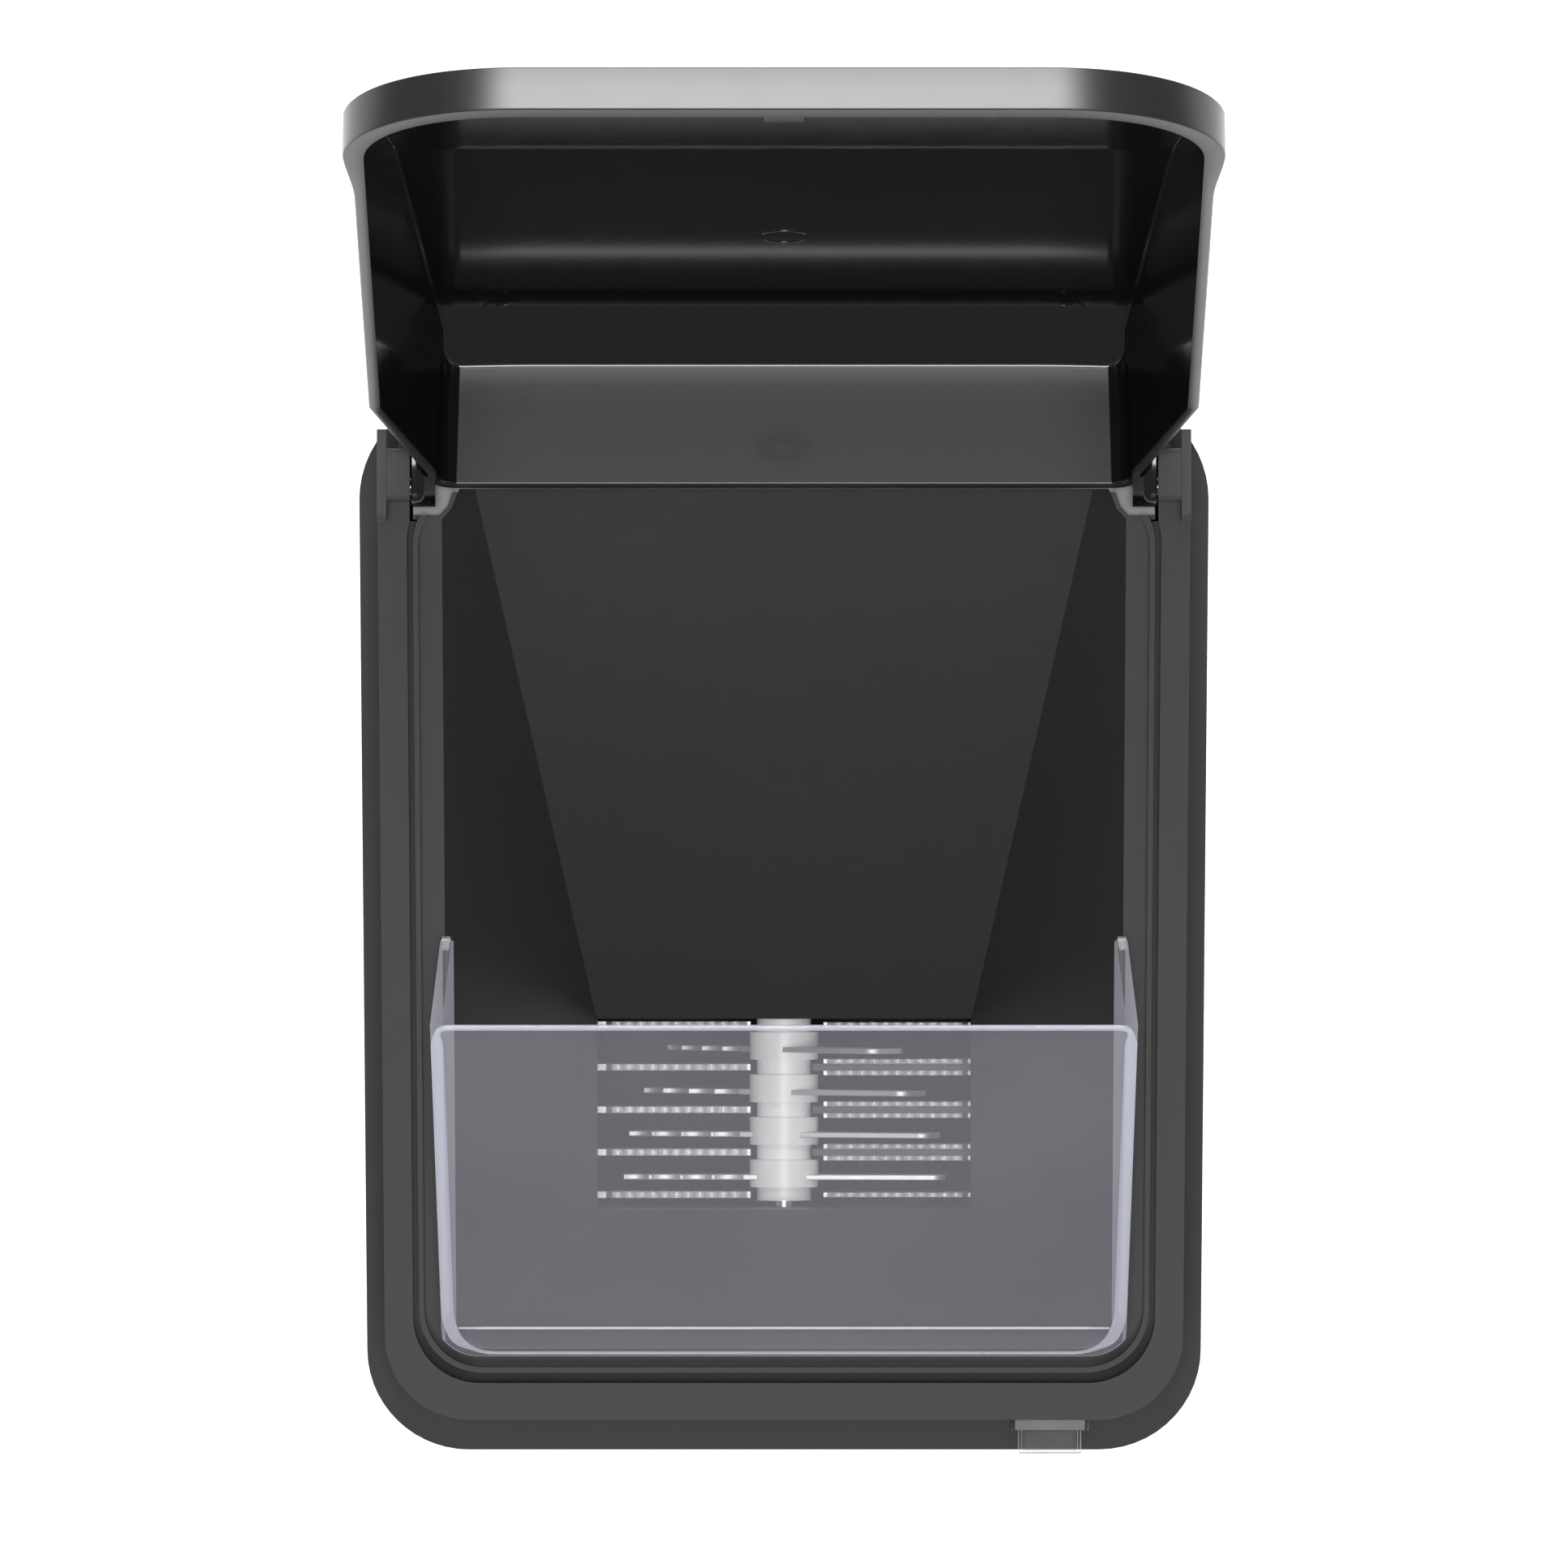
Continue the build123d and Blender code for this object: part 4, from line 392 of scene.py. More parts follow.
class FinishName(Enum):
    """The finishes of the crusher, named as its maker would."""

    HOUSING = "housing_plastic"
    FRAME = "frame_plastic"
    HOPPER = "hopper_plastic"
    LID = "lid_plastic"
    LID_SKIN = "lid_outside"
    HINGE = "hinge_plastic"
    CLEAR = "clear_plastic"
    # Painted highlight: the finish of the bright, glowing strips on the clear guard's edges.
    CLEAR_RIM_HIGHLIGHT = "clear_edge"
    CAP = "cap_plastic"
    WHITE = "white_plastic"
    STAINLESS = "stainless_steel"
    SHAFT = "shaft_steel"
    RUBBER = "rubber"
    GEAR = "gear_plastic"
    INNER = "inner_plastic"
    MOTOR = "motor_steel"
    WINDING = "winding"
    BRONZE = "bronze"
    BOARD = "board"
    SCREW = "screw_steel"


class FinishShelf:
    """Makes each finish once and hands it out."""

    RECIPES = {
        FinishName.HOUSING: MouldedPlastic("housing satin black", (0.020, 0.020, 0.021), 0.40),
        FinishName.FRAME: MouldedPlastic(
            "frame black", (0.033, 0.033, 0.034), 0.32, grain_depth=0.00001, gloss=0.42
        ),
        FinishName.HOPPER: MouldedPlastic(
            "hopper black", (0.032, 0.032, 0.033), 0.34, 0.06, 0.0005, 0.00001, 0.45
        ),
        FinishName.LID: MouldedPlastic(
            "lid gloss black", (0.0042, 0.0042, 0.0045), 0.11, 0.02, 0.0008, 0.000002
        ),
        FinishName.LID_SKIN: MouldedPlastic(
            "lid satin black", (0.010, 0.010, 0.0105), 0.30, 0.03, 0.0008, 0.000002
        ),
        FinishName.HINGE: MouldedPlastic("hinge black", (0.050, 0.050, 0.051), 0.55, gloss=0.12),
        # The clear finishes below have a painted highlight at their edges: partly in the edge colour,
        # and wholly in the emission glow.
        FinishName.CLEAR: ClearPlastic(
            "guard clear", (0.50, 0.50, 0.56), (0.72, 0.73, 0.82), 0.11, 0.8, 1.9, glow=0.35
        ),
        # Finish of the painted highlight strips on the guard's edges: bright, hazy and glowing.
        FinishName.CLEAR_RIM_HIGHLIGHT: ClearPlastic(
            "guard painted rim highlight", (0.66, 0.67, 0.76), (0.56, 0.56, 0.76), 0.40, 0.40, 1.5, glow=0.22
        ),
        FinishName.CAP: ClearPlastic(
            "switch cap clear", (0.25, 0.25, 0.26), (0.62, 0.63, 0.66), 0.03, 0.7, 2.4, 0.06, 0.3, 0.3
        ),
        FinishName.WHITE: MouldedPlastic("spindle white", (0.93, 0.93, 0.92), 0.36),
        FinishName.STAINLESS: WorkedSteel("comb steel", (0.96, 0.96, 0.96), 0.62),
        FinishName.SHAFT: WorkedSteel("ground steel", (0.5, 0.5, 0.5), 0.22, (1.0, 0.05, 1.0)),
        FinishName.RUBBER: Rubber("foot rubber"),
        FinishName.GEAR: MouldedPlastic("gear acetal", (0.62, 0.60, 0.52), 0.42),
        FinishName.INNER: MouldedPlastic("inner black", (0.030, 0.030, 0.031), 0.50),
        FinishName.MOTOR: WorkedSteel("zinc plate", (0.48, 0.48, 0.47), 0.42, (1.0, 1.0, 1.0), 300.0),
        FinishName.WINDING: WoundCopper("copper winding"),
        FinishName.BRONZE: WorkedSteel(
            "sintered bronze", (0.42, 0.27, 0.13), 0.46, (1.0, 1.0, 1.0), 2000.0
        ),
        FinishName.BOARD: MouldedPlastic("board lacquer", (0.015, 0.09, 0.04), 0.3),
        FinishName.SCREW: WorkedSteel("screw zinc", (0.6, 0.6, 0.58), 0.3, (1.0, 1.0, 1.0), 1500.0),
    }

    def __init__(self) -> None:
        """Start with nothing made."""
        self.made: dict[FinishName, bpy.types.Material] = {}

    def take(self, name: FinishName) -> bpy.types.Material:
        """Hand out a finish, made on its first use.

        Args:
            name: the finish.

        Returns:
            Its material.
        """
        if name not in self.made:
            self.made[name] = self.RECIPES[name].build()
        return self.made[name]


# --------------------------------------------------------------------------- mesh helpers


@dataclass
class Workshop:
    """Places finished meshes in the scene, on their body, in place of their CAD node."""

    shelf: FinishShelf = field(default_factory=FinishShelf)

    def body_of(self, node: str) -> str:
        """Name of the rigid body that a CAD node belongs to."""
        bodies = frame["record"]["behaviour"]["bodies"]
        return next(body for body, nodes in bodies.items() if node in nodes)

    def dress(self, node: str, finish: FinishName) -> None:
        """Give a CAD node its finish without touching its shape.

        Args:
            node: name of the CAD node.
            finish: its finish.
        """
        mesh = frame["nodes"][node].data
        mesh.materials.clear()
        mesh.materials.append(self.shelf.take(finish))

    def soften(
        self,
        node: str,
        finish: FinishName,
        radius: float,
        segments: int = 3,
        crease: float = PLAIN_CREASE,
    ) -> bpy.types.Object:
        """Copy a CAD node with its triangles joined and its edges rounded.

        Args:
            node: name of the CAD node.
            finish: finish of the copy.
            radius: edge rounding in metres.
            segments: steps across each rounding.
            crease: smallest angle in degrees between two faces whose edge is rounded.

        Returns:
            The new piece, which replaces the node.
        """
        mesh = frame["nodes"][node].data.copy()
        mesh.name = f"{node}_form"
        work = bmesh.new()
        work.from_mesh(mesh)
        bmesh.ops.remove_doubles(work, verts=work.verts, dist=CAD_MERGE_GAP)
        bmesh.ops.dissolve_limit(work, angle_limit=FLAT_ANGLE, verts=work.verts, edges=work.edges)
        work.to_mesh(mesh)
        work.free()
        piece = self.piece(f"{node}_finished", mesh, finish, self.body_of(node), (node,))
        bevel = piece.modifiers.new("edge rounding", "BEVEL")
        bevel.width = radius
        bevel.segments = segments
        bevel.limit_method = "ANGLE"
        bevel.angle_limit = math.radians(crease)
        self.shade(piece)
        return piece

    def piece(
        self, name: str, mesh: bpy.types.Mesh, finish: FinishName, body: str, nodes: Iterable[str] = ()
    ) -> bpy.types.Object:
        """Link a mesh as a piece that rides on a body.

        Args:
            name: object name.
            mesh: its mesh, already in place.
            finish: its finish.
            body: the body it rides on.
            nodes: the CAD nodes that it stands for.

        Returns:
            The linked object.
        """
        mesh.materials.clear()
        mesh.materials.append(self.shelf.take(finish))
        piece = bpy.data.objects.new(name, mesh)
        bpy.context.scene.collection.objects.link(piece)
        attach(piece, body)
        if nodes:
            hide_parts(*nodes)
        LOG.info("piece %s on %s", name, body)
        return piece

    def shade(self, piece: bpy.types.Object) -> None:
        """Shade smoothly, with normals weighted by the area of the faces.

        Args:
            piece: the piece to shade.
        """
        polygons = piece.data.polygons
        polygons.foreach_set("use_smooth", np.ones(len(polygons), dtype=bool))
        normals = piece.modifiers.new("even normals", "WEIGHTED_NORMAL")
        normals.weight = 80
        normals.keep_sharp = True


def grid_mesh(name: str, points: np.ndarray, closed_u: bool = False) -> bpy.types.Mesh:
    """Turn a grid of points into a quad mesh.

    Args:
        name: mesh name.
        points: array of shape (rows, columns, 3).
        closed_u: join the last column to the first.

    Returns:
        The mesh, with one quad per grid cell.
    """
    rows, columns, _ = points.shape
    index = np.arange(rows * columns).reshape(rows, columns)
    right = np.roll(index, -1, axis=1) if closed_u else index[:, 1:]
    left = index if closed_u else index[:, :-1]
    quads = np.stack([left[:-1], right[:-1], right[1:], left[1:]], axis=-1).reshape(-1, 4)
    mesh = bpy.data.meshes.new(name)
    mesh.vertices.add(rows * columns)
    mesh.vertices.foreach_set("co", points.reshape(-1, 3).astype(np.float32).ravel())
    mesh.loops.add(quads.size)
    mesh.loops.foreach_set("vertex_index", quads.ravel().astype(np.int32))
    mesh.polygons.add(len(quads))
    mesh.polygons.foreach_set("loop_start", np.arange(0, quads.size, 4, dtype=np.int32))
    mesh.update(calc_edges=True)
    mesh.validate()
    return mesh


def tidy(mesh: bpy.types.Mesh) -> None:
    """Merge coincident points and turn every face outwards.

    Args:
        mesh: the mesh, changed in place.
    """
    work = bmesh.new()
    work.from_mesh(mesh)
    bmesh.ops.remove_doubles(work, verts=work.verts, dist=MERGE_GAP)
    bmesh.ops.recalc_face_normals(work, faces=work.faces)
    work.to_mesh(mesh)
    work.free()


def ease(low: float, high: float, value: np.ndarray) -> np.ndarray:
    """Smooth step from 0 at low to 1 at high."""
    t = np.clip((value - low) / (high - low), 0.0, 1.0)
    return t * t * (3.0 - 2.0 * t)


def soft_minimum(first: np.ndarray, second: np.ndarray, radius: float) -> np.ndarray:
    """Minimum of two heights with a rounded join: the polynomial blend of the given radius."""
    mix = np.clip(0.5 + 0.5 * (second - first) / radius, 0.0, 1.0)
    return second * (1 - mix) + first * mix - radius * mix * (1 - mix)


# --------------------------------------------------------------------------- the deck


@dataclass(frozen=True)
class Deck:
    """The tilted plane that the lid closes on."""

    tilt: float = math.radians(19.0)
    hinge_y: float = 0.118
    hinge_z: float = 0.409
    swing: float = math.radians(128.6)

    def to_world(self, local: np.ndarray, opened: float = 0.0) -> np.ndarray:
        """Take (x, u, w) to (x, y, z), with the plane swung back about the hinge by an angle.

        Args:
            local: array whose last axis is (x, u, w).
            opened: 0 for the deck itself, 1 for the lid's open pose.

        Returns:
            Array of the same shape in the CAD frame.
        """
        angle = math.pi + self.tilt - opened * self.swing
        x, u, w = np.moveaxis(local, -1, 0)
        y = self.hinge_y + u * math.cos(angle) + w * math.sin(angle)
        z = self.hinge_z + u * math.sin(angle) - w * math.cos(angle)
        return np.stack([x, y, z], axis=-1)


# --------------------------------------------------------------------------- lid


@dataclass
class Lid:
    """Domed lid, open: a rounded tray with a grip lip round its front and two hinge ears.

    Lengths are in metres.  Each of an ear's rings gives its place across, how far it draws in from
    the hub, and its share of the run and rise.
    """

    shop: Workshop
    deck: Deck = field(default_factory=Deck)
    half_width: float = 0.1084
    tail_half: float = 0.0948
    tail: float = 0.008
    shoulder: float = 0.057
    length: float = 0.2631
    corner: float = 0.0316
    corner_across: float = 0.0420
    corner_power: float = 2.15
    corner_points: int = 64
    run_points: int = 60
    slant_points: int = 24
    slant_lead: float = 0.002
    tail_corner: float = 0.006
    wall: float = 0.0026
    gap: float = 0.0003
    lean: float = math.radians(15.0)
    tail_lean: float = math.radians(2.5)
    knee: float = 0.0045
    lip: float = 0.0024
    lip_height: float = 0.0115
    bead: float = 0.0004
    lip_foot: float = 0.0012
    lip_from: float = 0.205
    lip_full: float = 0.236
    rim_u: float = 0.0006
    ring_u: float = 0.090
    ring_radius: float = 0.0064
    ring_bead: float = 0.00035
    roof_margin: float = 0.02
    roof_samples: int = 1200
    roof_blur: int = 61
    upright_to: float = 0.053
    upright_gone: float = 0.067
    spine_rear: float = 0.045
    spine_front: float = 0.055
    depth_steps: int = 44
    spine_steps: int = 13
    ear_points: int = 60
    ear_hub: float = 0.0053
    ear_run: float = 0.0062
    ear_rise: float = 0.0055
    ear_rings: tuple[tuple[float, float, float], ...] = (
        (0.0925, 0.0, 1.0),
        (0.0986, 0.0, 1.0),
        (0.0990, 0.0004, 1.0),
        (0.0990, 0.0036, 0.3),
    )
    depth_reach: float = 0.0215
    depth_power: float = 1.7
    roof: tuple[tuple[float, float], ...] = (
        (0.0, 0.031),
        (0.004, 0.0350),
        (0.020, 0.0460),
        (0.188, 0.0210),
        (0.2631, 0.0022),
    )

    def outline(self) -> np.ndarray:
        """Closed plan outline of the inner rim, as (x, u) points in order.

        Straight sides with a quarter of a superellipse at each front corner, a slanting run to the
        narrow tail and small quarter circles at the tail.

        Returns:
            Array (n, 2), running once round.
        """
        half = self.half_width - self.wall
        front = self.length - self.wall
        radius = self.corner - self.wall
        across = self.corner_across - self.wall
        arc = np.linspace(0, math.pi / 2, self.corner_points)
        power = 2.0 / self.corner_power
        front_arc = np.stack(
            [
                half - across + across * np.cos(arc).clip(0.0) ** power,
                front - radius + radius * np.sin(arc).clip(0.0) ** power,
            ],
            axis=1,
        )
        tail_half = self.tail_half - self.wall
        small = self.tail_corner
        tail_arc = np.stack(
            [
                tail_half - small + small * np.sin(arc[::4]),
                self.rim_u + small - small * np.cos(arc[::4]),
            ],
            axis=1,
        )
        tail_run = tail_half - small
        front_run = half - across
        count = self.run_points
        slant = np.linspace(
            (tail_half, self.tail + self.slant_lead), (half, self.shoulder), self.slant_points
        )
        side = np.linspace((half, self.shoulder), (half, front - radius), count)[1:-1]
        across_tail = np.linspace((-tail_run, self.rim_u), (tail_run, self.rim_u), count)[1:-1]
        across_front = np.linspace((front_run, front), (-front_run, front), count)[1:-1]
        right = np.concatenate([tail_arc, slant, side, front_arc])
        left = right[::-1] * np.array([-1.0, 1.0])
        return np.concatenate([across_tail, right, across_front, left])

    def inward(self, edge: np.ndarray) -> tuple[np.ndarray, np.ndarray]:
        """Unit directions from the outline towards the middle, and the room along them.

        The target is the point of an inner rectangle nearest to the outline's point, so directions
        are square to the sides and radial at the corners.

        Args:
            edge: outline points (n, 2).

        Returns:
            The directions (n, 2) and the distances (n,) to the inner rectangle.
        """
        reach = self.corner - self.wall
        limit_x = self.half_width - self.corner_across
        target = np.stack(
            [
                np.clip(edge[:, 0], -limit_x, limit_x),
                np.clip(edge[:, 1], self.rim_u + reach, self.length - self.wall - reach),
            ],
            axis=1,
        )
        step = target - edge
        room = np.linalg.norm(step, axis=1)
        return step / room[:, None], room

    def ceiling(self, u: np.ndarray) -> np.ndarray:
        """Height of the inside of the roof above the rim: straight runs blurred at their knees.

        Args:
            u: places along the lid.

        Returns:
            The heights, in an array like u.
        """
        knots = np.array(self.roof)
        start, end = knots[0, 0] - self.roof_margin, knots[-1, 0] + self.roof_margin
        fine = np.linspace(start, end, self.roof_samples)
        raw = np.interp(fine, knots[:, 0], knots[:, 1])
        width = self.roof_blur
        kernel = np.hanning(width + 2)[1:-1]
        padded = np.pad(raw, width // 2, mode="edge")
        smooth = np.convolve(padded, kernel / kernel.sum(), mode="valid")
        return np.interp(u, fine, smooth)

    def skin(self, offset: float, depths: np.ndarray) -> np.ndarray:
        """One skin of the tray as loops that run inwards from the rim.

        A loop at depth d lies d inside the outline.  Its height is the rounded minimum of three
        surfaces: the roof, a plane that leans in from the full width by the draft angle, and a wall
        square to the outline that is nearly upright at the tail and drafted elsewhere.

        Args:
            offset: distance of this skin outside the inner one.
            depths: the loops' distances from this skin's own edge.

        Returns:
            Array (loops, points, 3) in deck coordinates.
        """
        edge = self.outline()
        inward, room = self.inward(edge)
        edge = edge - inward * offset
        room = room + offset
        upright = 1.0 - ease(self.upright_to, self.upright_gone, edge[:, 1])
        slope = 1.0 / math.tan(self.lean) * (1 - upright) + 1.0 / math.tan(self.tail_lean) * upright
        full = self.half_width - self.wall + offset
        loops = []
        for depth in depths:
            reach = np.minimum(depth, room)
            flat = edge + inward * reach[:, None]
            side = (full - np.abs(flat[:, 0])) / math.tan(self.lean)
            wall = np.minimum(depth * slope, side)
            roof = self.ceiling(flat[:, 1]) + offset / math.cos(self.lean)
            height = soft_minimum(wall, roof, self.knee)
            height = np.maximum(height, 0.0) if depth > 0 else height * 0
            loops.append(np.column_stack([flat, height + self.gap]))
        last = loops[-1]
        spine = np.column_stack(
            [last[:, 0] * 0, np.clip(last[:, 1], self.spine_rear, self.length - self.spine_front)]
        )
        for share in np.linspace(0.08, 1.0, self.spine_steps):
            flat = last[:, :2] * (1 - share) + spine * share
            height = self.ceiling(flat[:, 1]) + offset / math.cos(self.lean)
            loops.append(np.column_stack([flat, height + self.gap]))
        return np.array(loops)

    def shell(self) -> np.ndarray:
        """All loops of the lid, from the middle of the inside round the rim and lip to the outside.

        A ring of the lip lies at a share of the wall and of the lip's reach outside the outline.

        Returns:
            Array (loops, points, 3) in deck coordinates.
        """
        # The loops crowd towards the edge: their depth is the reach times a share to a power.
        depths = self.depth_reach * np.linspace(0.0, 1.0, self.depth_steps) ** self.depth_power
        inner = self.skin(0.0, depths)
        outer = self.skin(self.wall, depths[1:])
        edge = self.outline()
        inward, _ = self.inward(edge)
        grow = ease(self.lip_from, self.lip_full, edge[:, 1])
        level = np.zeros(len(edge))
        top = np.maximum(self.lip_height * grow, 2 * self.bead)
        rings = (
            (0.0006, 0.0, level),
            (1.0, 1.0, level),
            (1.15, 1.0, level + self.bead),
            (1.15, 1.0, top - self.bead),
            (1.0, 1.0, top),
            (0.55, 0.55, top - self.bead),
            (0.45, 0.0, np.minimum(top, self.lip_foot)),
        )
        lip_loops = []
        for wall_share, lip_share, height in rings:
            reach = self.wall * wall_share + self.lip * grow * lip_share
            lip_loops.append(np.column_stack([edge - inward * reach[:, None], height + self.gap]))
        return np.concatenate([inner[::-1], np.array(lip_loops), outer])

    def gate_mark(self) -> np.ndarray:
        """Thin raised ring on the inside of the roof: a circle carried round a larger circle.

        Returns:
            Array (section points, round points, 3) in deck coordinates, closed in its section.
        """
        around = np.linspace(0, 2 * math.pi, 72, endpoint=False)
        section = np.linspace(0, 2 * math.pi, 13)[:, None]
        reach = self.ring_radius + self.ring_bead * np.cos(section)
        x = reach * np.cos(around)
        u = self.ring_u + reach * np.sin(around)
        height = self.ceiling(u) + self.gap + self.ring_bead * np.sin(section)
        return np.stack([x, u, height], axis=-1)

    def build(self) -> None:
        """Make the tray, glossy inside and satin outside, then its mark, its magnet and its ears."""
        points = self.shell()
        tray = grid_mesh("lid_tray", self.deck.to_world(points, 1.0), closed_u=True)
        rows, columns, _ = points.shape
        inside = self.depth_steps + self.spine_steps
        outside = np.repeat(np.arange(rows - 1) >= inside, columns)
        side = tray.attributes.new("outside", "INT", "FACE")
        side.data.foreach_set("value", outside.astype(np.int32))
        tidy(tray)
        piece = self.shop.piece("lid_tray", tray, FinishName.LID, "lid", ("lid_shell",))
        tray.materials.append(self.shop.shelf.take(FinishName.LID_SKIN))
        outside = np.zeros(len(tray.polygons), dtype=np.int32)
        tray.attributes["outside"].data.foreach_get("value", outside)
        tray.polygons.foreach_set("material_index", outside)
        tray.attributes.remove(tray.attributes["outside"])
        self.shop.shade(piece)
        mark = grid_mesh("lid_gate_mark", self.deck.to_world(self.gate_mark(), 1.0), closed_u=True)
        tidy(mark)
        self.shop.shade(self.shop.piece("lid_gate_mark", mark, FinishName.LID, "lid"))
        self.shop.soften("lid_magnet", FinishName.LID, 0.0004)
        self.ears()

    def ears(self) -> None:
        """Two hinge ears: slabs whose outline is a teardrop round the pin, run out to the tray."""
        angle = np.linspace(0, 2 * math.pi, self.ear_points, endpoint=False)
        drop = ease(-0.3, 1.0, np.cos(angle)) * ease(-0.6, 0.9, np.sin(angle))
        for side in (-1.0, 1.0):
            loops = []
            for x, shrink, share in self.ear_rings:
                u = (self.ear_hub - shrink) * np.cos(angle) + self.ear_run * drop * share
                w = (self.ear_hub - shrink) * np.sin(angle) + self.ear_rise * drop * share
                loops.append(np.column_stack([np.full_like(u, side * x), u, w]))
            slab = grid_mesh("ear", self.deck.to_world(np.array(loops), 1.0), closed_u=True)
            work = bmesh.new()
            work.from_mesh(slab)
            bmesh.ops.holes_fill(work, edges=work.edges, sides=0)
            bmesh.ops.recalc_face_normals(work, faces=work.faces)
            work.to_mesh(slab)
            work.free()
            label = "left" if side < 0 else "right"
            piece = self.shop.piece(f"{label}_lid_ear", slab, FinishName.LID, "lid")
            self.shop.shade(piece)


# --------------------------------------------------------------------------- other sub-assemblies


@dataclass
class GuardRimHighlight:
    """Painted highlight on the clear guard's rounded edges: a bright, glowing strip all round its rim
    and along the line of its bend.

    The rim is broad along the sides, between side_from and side_full, and slim elsewhere.
    """

    shop: Workshop
    rear: tuple[float, float, float] = (0.0930, -0.0261, 0.3779)
    side_front: tuple[float, float, float] = (0.0908, -0.1060, 0.3353)
    corner: tuple[float, float, float] = (0.0885, -0.1117, 0.3306)
    foot: tuple[float, float, float] = (0.0815, -0.1149, 0.3279)
    bend: tuple[float, float, float] = (0.0880, -0.1079, 0.3349)
    lean: float = math.radians(27.9)
    side_half: float = 0.0017
    edge_half: float = 0.00085
    bend_half: float = 0.00028
    foot_slim: float = 0.00045
    thickness: float = 0.0006
    steps: int = 420
    ease_points: int = 7
    sides: int = 16
    bend_steps: int = 80
    bend_taper: float = 12.0
    bend_tip: float = 0.02
    side_from: float = 0.084
    side_full: float = 0.0895
    front_from: float = -0.117
    front_full: float = -0.110
    rear_from: float = -0.031
    rear_gone: float = -0.027
    foot_from: float = -0.1149
    foot_gone: float = -0.1120

    def path(self) -> np.ndarray:
        """Closed centre line through the corner points, resampled evenly and eased at its corners.

        Returns:
            Array (steps, 3) in the CAD frame.
        """
        right = np.array([self.rear, self.side_front, self.corner, self.foot])
        left = right[::-1] * np.array([-1.0, 1.0, 1.0])
        knots = np.concatenate([right, left, right[:1]])
        gone = np.concatenate([[0.0], np.cumsum(np.linalg.norm(np.diff(knots, axis=0), axis=1))])
        where = np.linspace(0.0, gone[-1], self.steps, endpoint=False)
        line = np.stack([np.interp(where, gone, knots[:, axis]) for axis in range(3)], axis=1)
        kernel = np.hanning(self.ease_points + 2)[1:-1]
        kernel = kernel / kernel.sum()
        reach = self.ease_points // 2
        wrapped = np.concatenate([line[-reach:], line, line[:reach]])
        eased = [np.convolve(wrapped[:, axis], kernel, mode="valid") for axis in range(3)]
        return np.stack(eased, axis=1)

    def bead(self, line: np.ndarray, half: np.ndarray, closed: bool) -> np.ndarray:
        """Carry an ellipse along a line: centre + half cos(a) side + thickness sin(a) up.

        Args:
            line: centre points (n, 3).
            half: half width at each point.
            closed: whether the line closes on itself.

        Returns:
            Array (n, sides, 3); a closed line repeats its first loop at the end.
        """
        ahead = np.gradient(line, axis=0)
        if closed:
            ahead = np.roll(line, -1, axis=0) - np.roll(line, 1, axis=0)
        ahead = ahead / np.linalg.norm(ahead, axis=1)[:, None]
        up = np.array([0.0, -math.sin(self.lean), math.cos(self.lean)])
        side = np.cross(ahead, up)
        side = side / np.linalg.norm(side, axis=1)[:, None]
        angle = np.linspace(0, 2 * math.pi, self.sides, endpoint=False)
        across = half[:, None, None] * np.cos(angle)[None, :, None] * side[:, None, :]
        raised = self.thickness * np.sin(angle)[None, :, None] * up[None, None, :]
        loops = line[:, None, :] + across + raised
        return np.concatenate([loops, loops[:1]]) if closed else loops

    def build(self) -> None:
        """Make the painted highlight strips along the rim and the bend line."""
        line = self.path()
        x, y = np.abs(line[:, 0]), line[:, 1]
        broad = ease(self.side_from, self.side_full, x) * ease(self.front_from, self.front_full, y)
        broad = broad * (1.0 - ease(self.rear_from, self.rear_gone, y))
        half = self.edge_half + (self.side_half - self.edge_half) * broad
        half = half - self.foot_slim * (1.0 - ease(self.foot_from, self.foot_gone, y))
        bend = np.linspace(self.bend, (-self.bend[0], *self.bend[1:]), self.bend_steps)
        inwards = 1.0 - np.abs(np.linspace(-1.0, 1.0, self.bend_steps))
        taper = self.bend_half * np.minimum(1.0, self.bend_tip + self.bend_taper * inwards)
        # Both strips are painted highlight, laid over the guard's edges in a bright, glowing finish.
        for name, points in (
            ("guard_rim_highlight", self.bead(line, half, True)),
            ("guard_bend_highlight", self.bead(bend, taper, False)),
        ):
            mesh = grid_mesh(name, points, closed_u=True)
            tidy(mesh)
            self.shop.shade(self.shop.piece(name, mesh, FinishName.CLEAR_RIM_HIGHLIGHT, "housing"))


@dataclass
class CarriedParts:
    """A group of CAD nodes that keep their shape, with rounded edges and a finish each."""

    shop: Workshop
    rounded: dict[str, tuple[FinishName, float]]
    plain: dict[str, FinishName] = field(default_factory=dict)
    creases: dict[str, float] = field(default_factory=dict)

    def build(self) -> None:
        """Round and dress each node of the group."""
        for node, (finish, radius) in self.rounded.items():
            self.shop.soften(node, finish, radius, crease=self.creases.get(node, PLAIN_CREASE))
        for node, finish in self.plain.items():
            self.shop.dress(node, finish)


def housing_parts(shop: Workshop) -> CarriedParts:
    """Outer shell, feet and inlet.

    Args:
        shop: the workshop that places the pieces.

    Returns:
        The group, not yet built.
    """
    return CarriedParts(
        shop,
        {
            "lower_housing": (FinishName.HOUSING, 0.0008),
            "inlet_socket": (FinishName.INNER, 0.0004),
            "rubber_feet": (FinishName.RUBBER, 0.0006),
        },
        {"base_plate": FinishName.INNER, "foot_screws": FinishName.SCREW},
    )


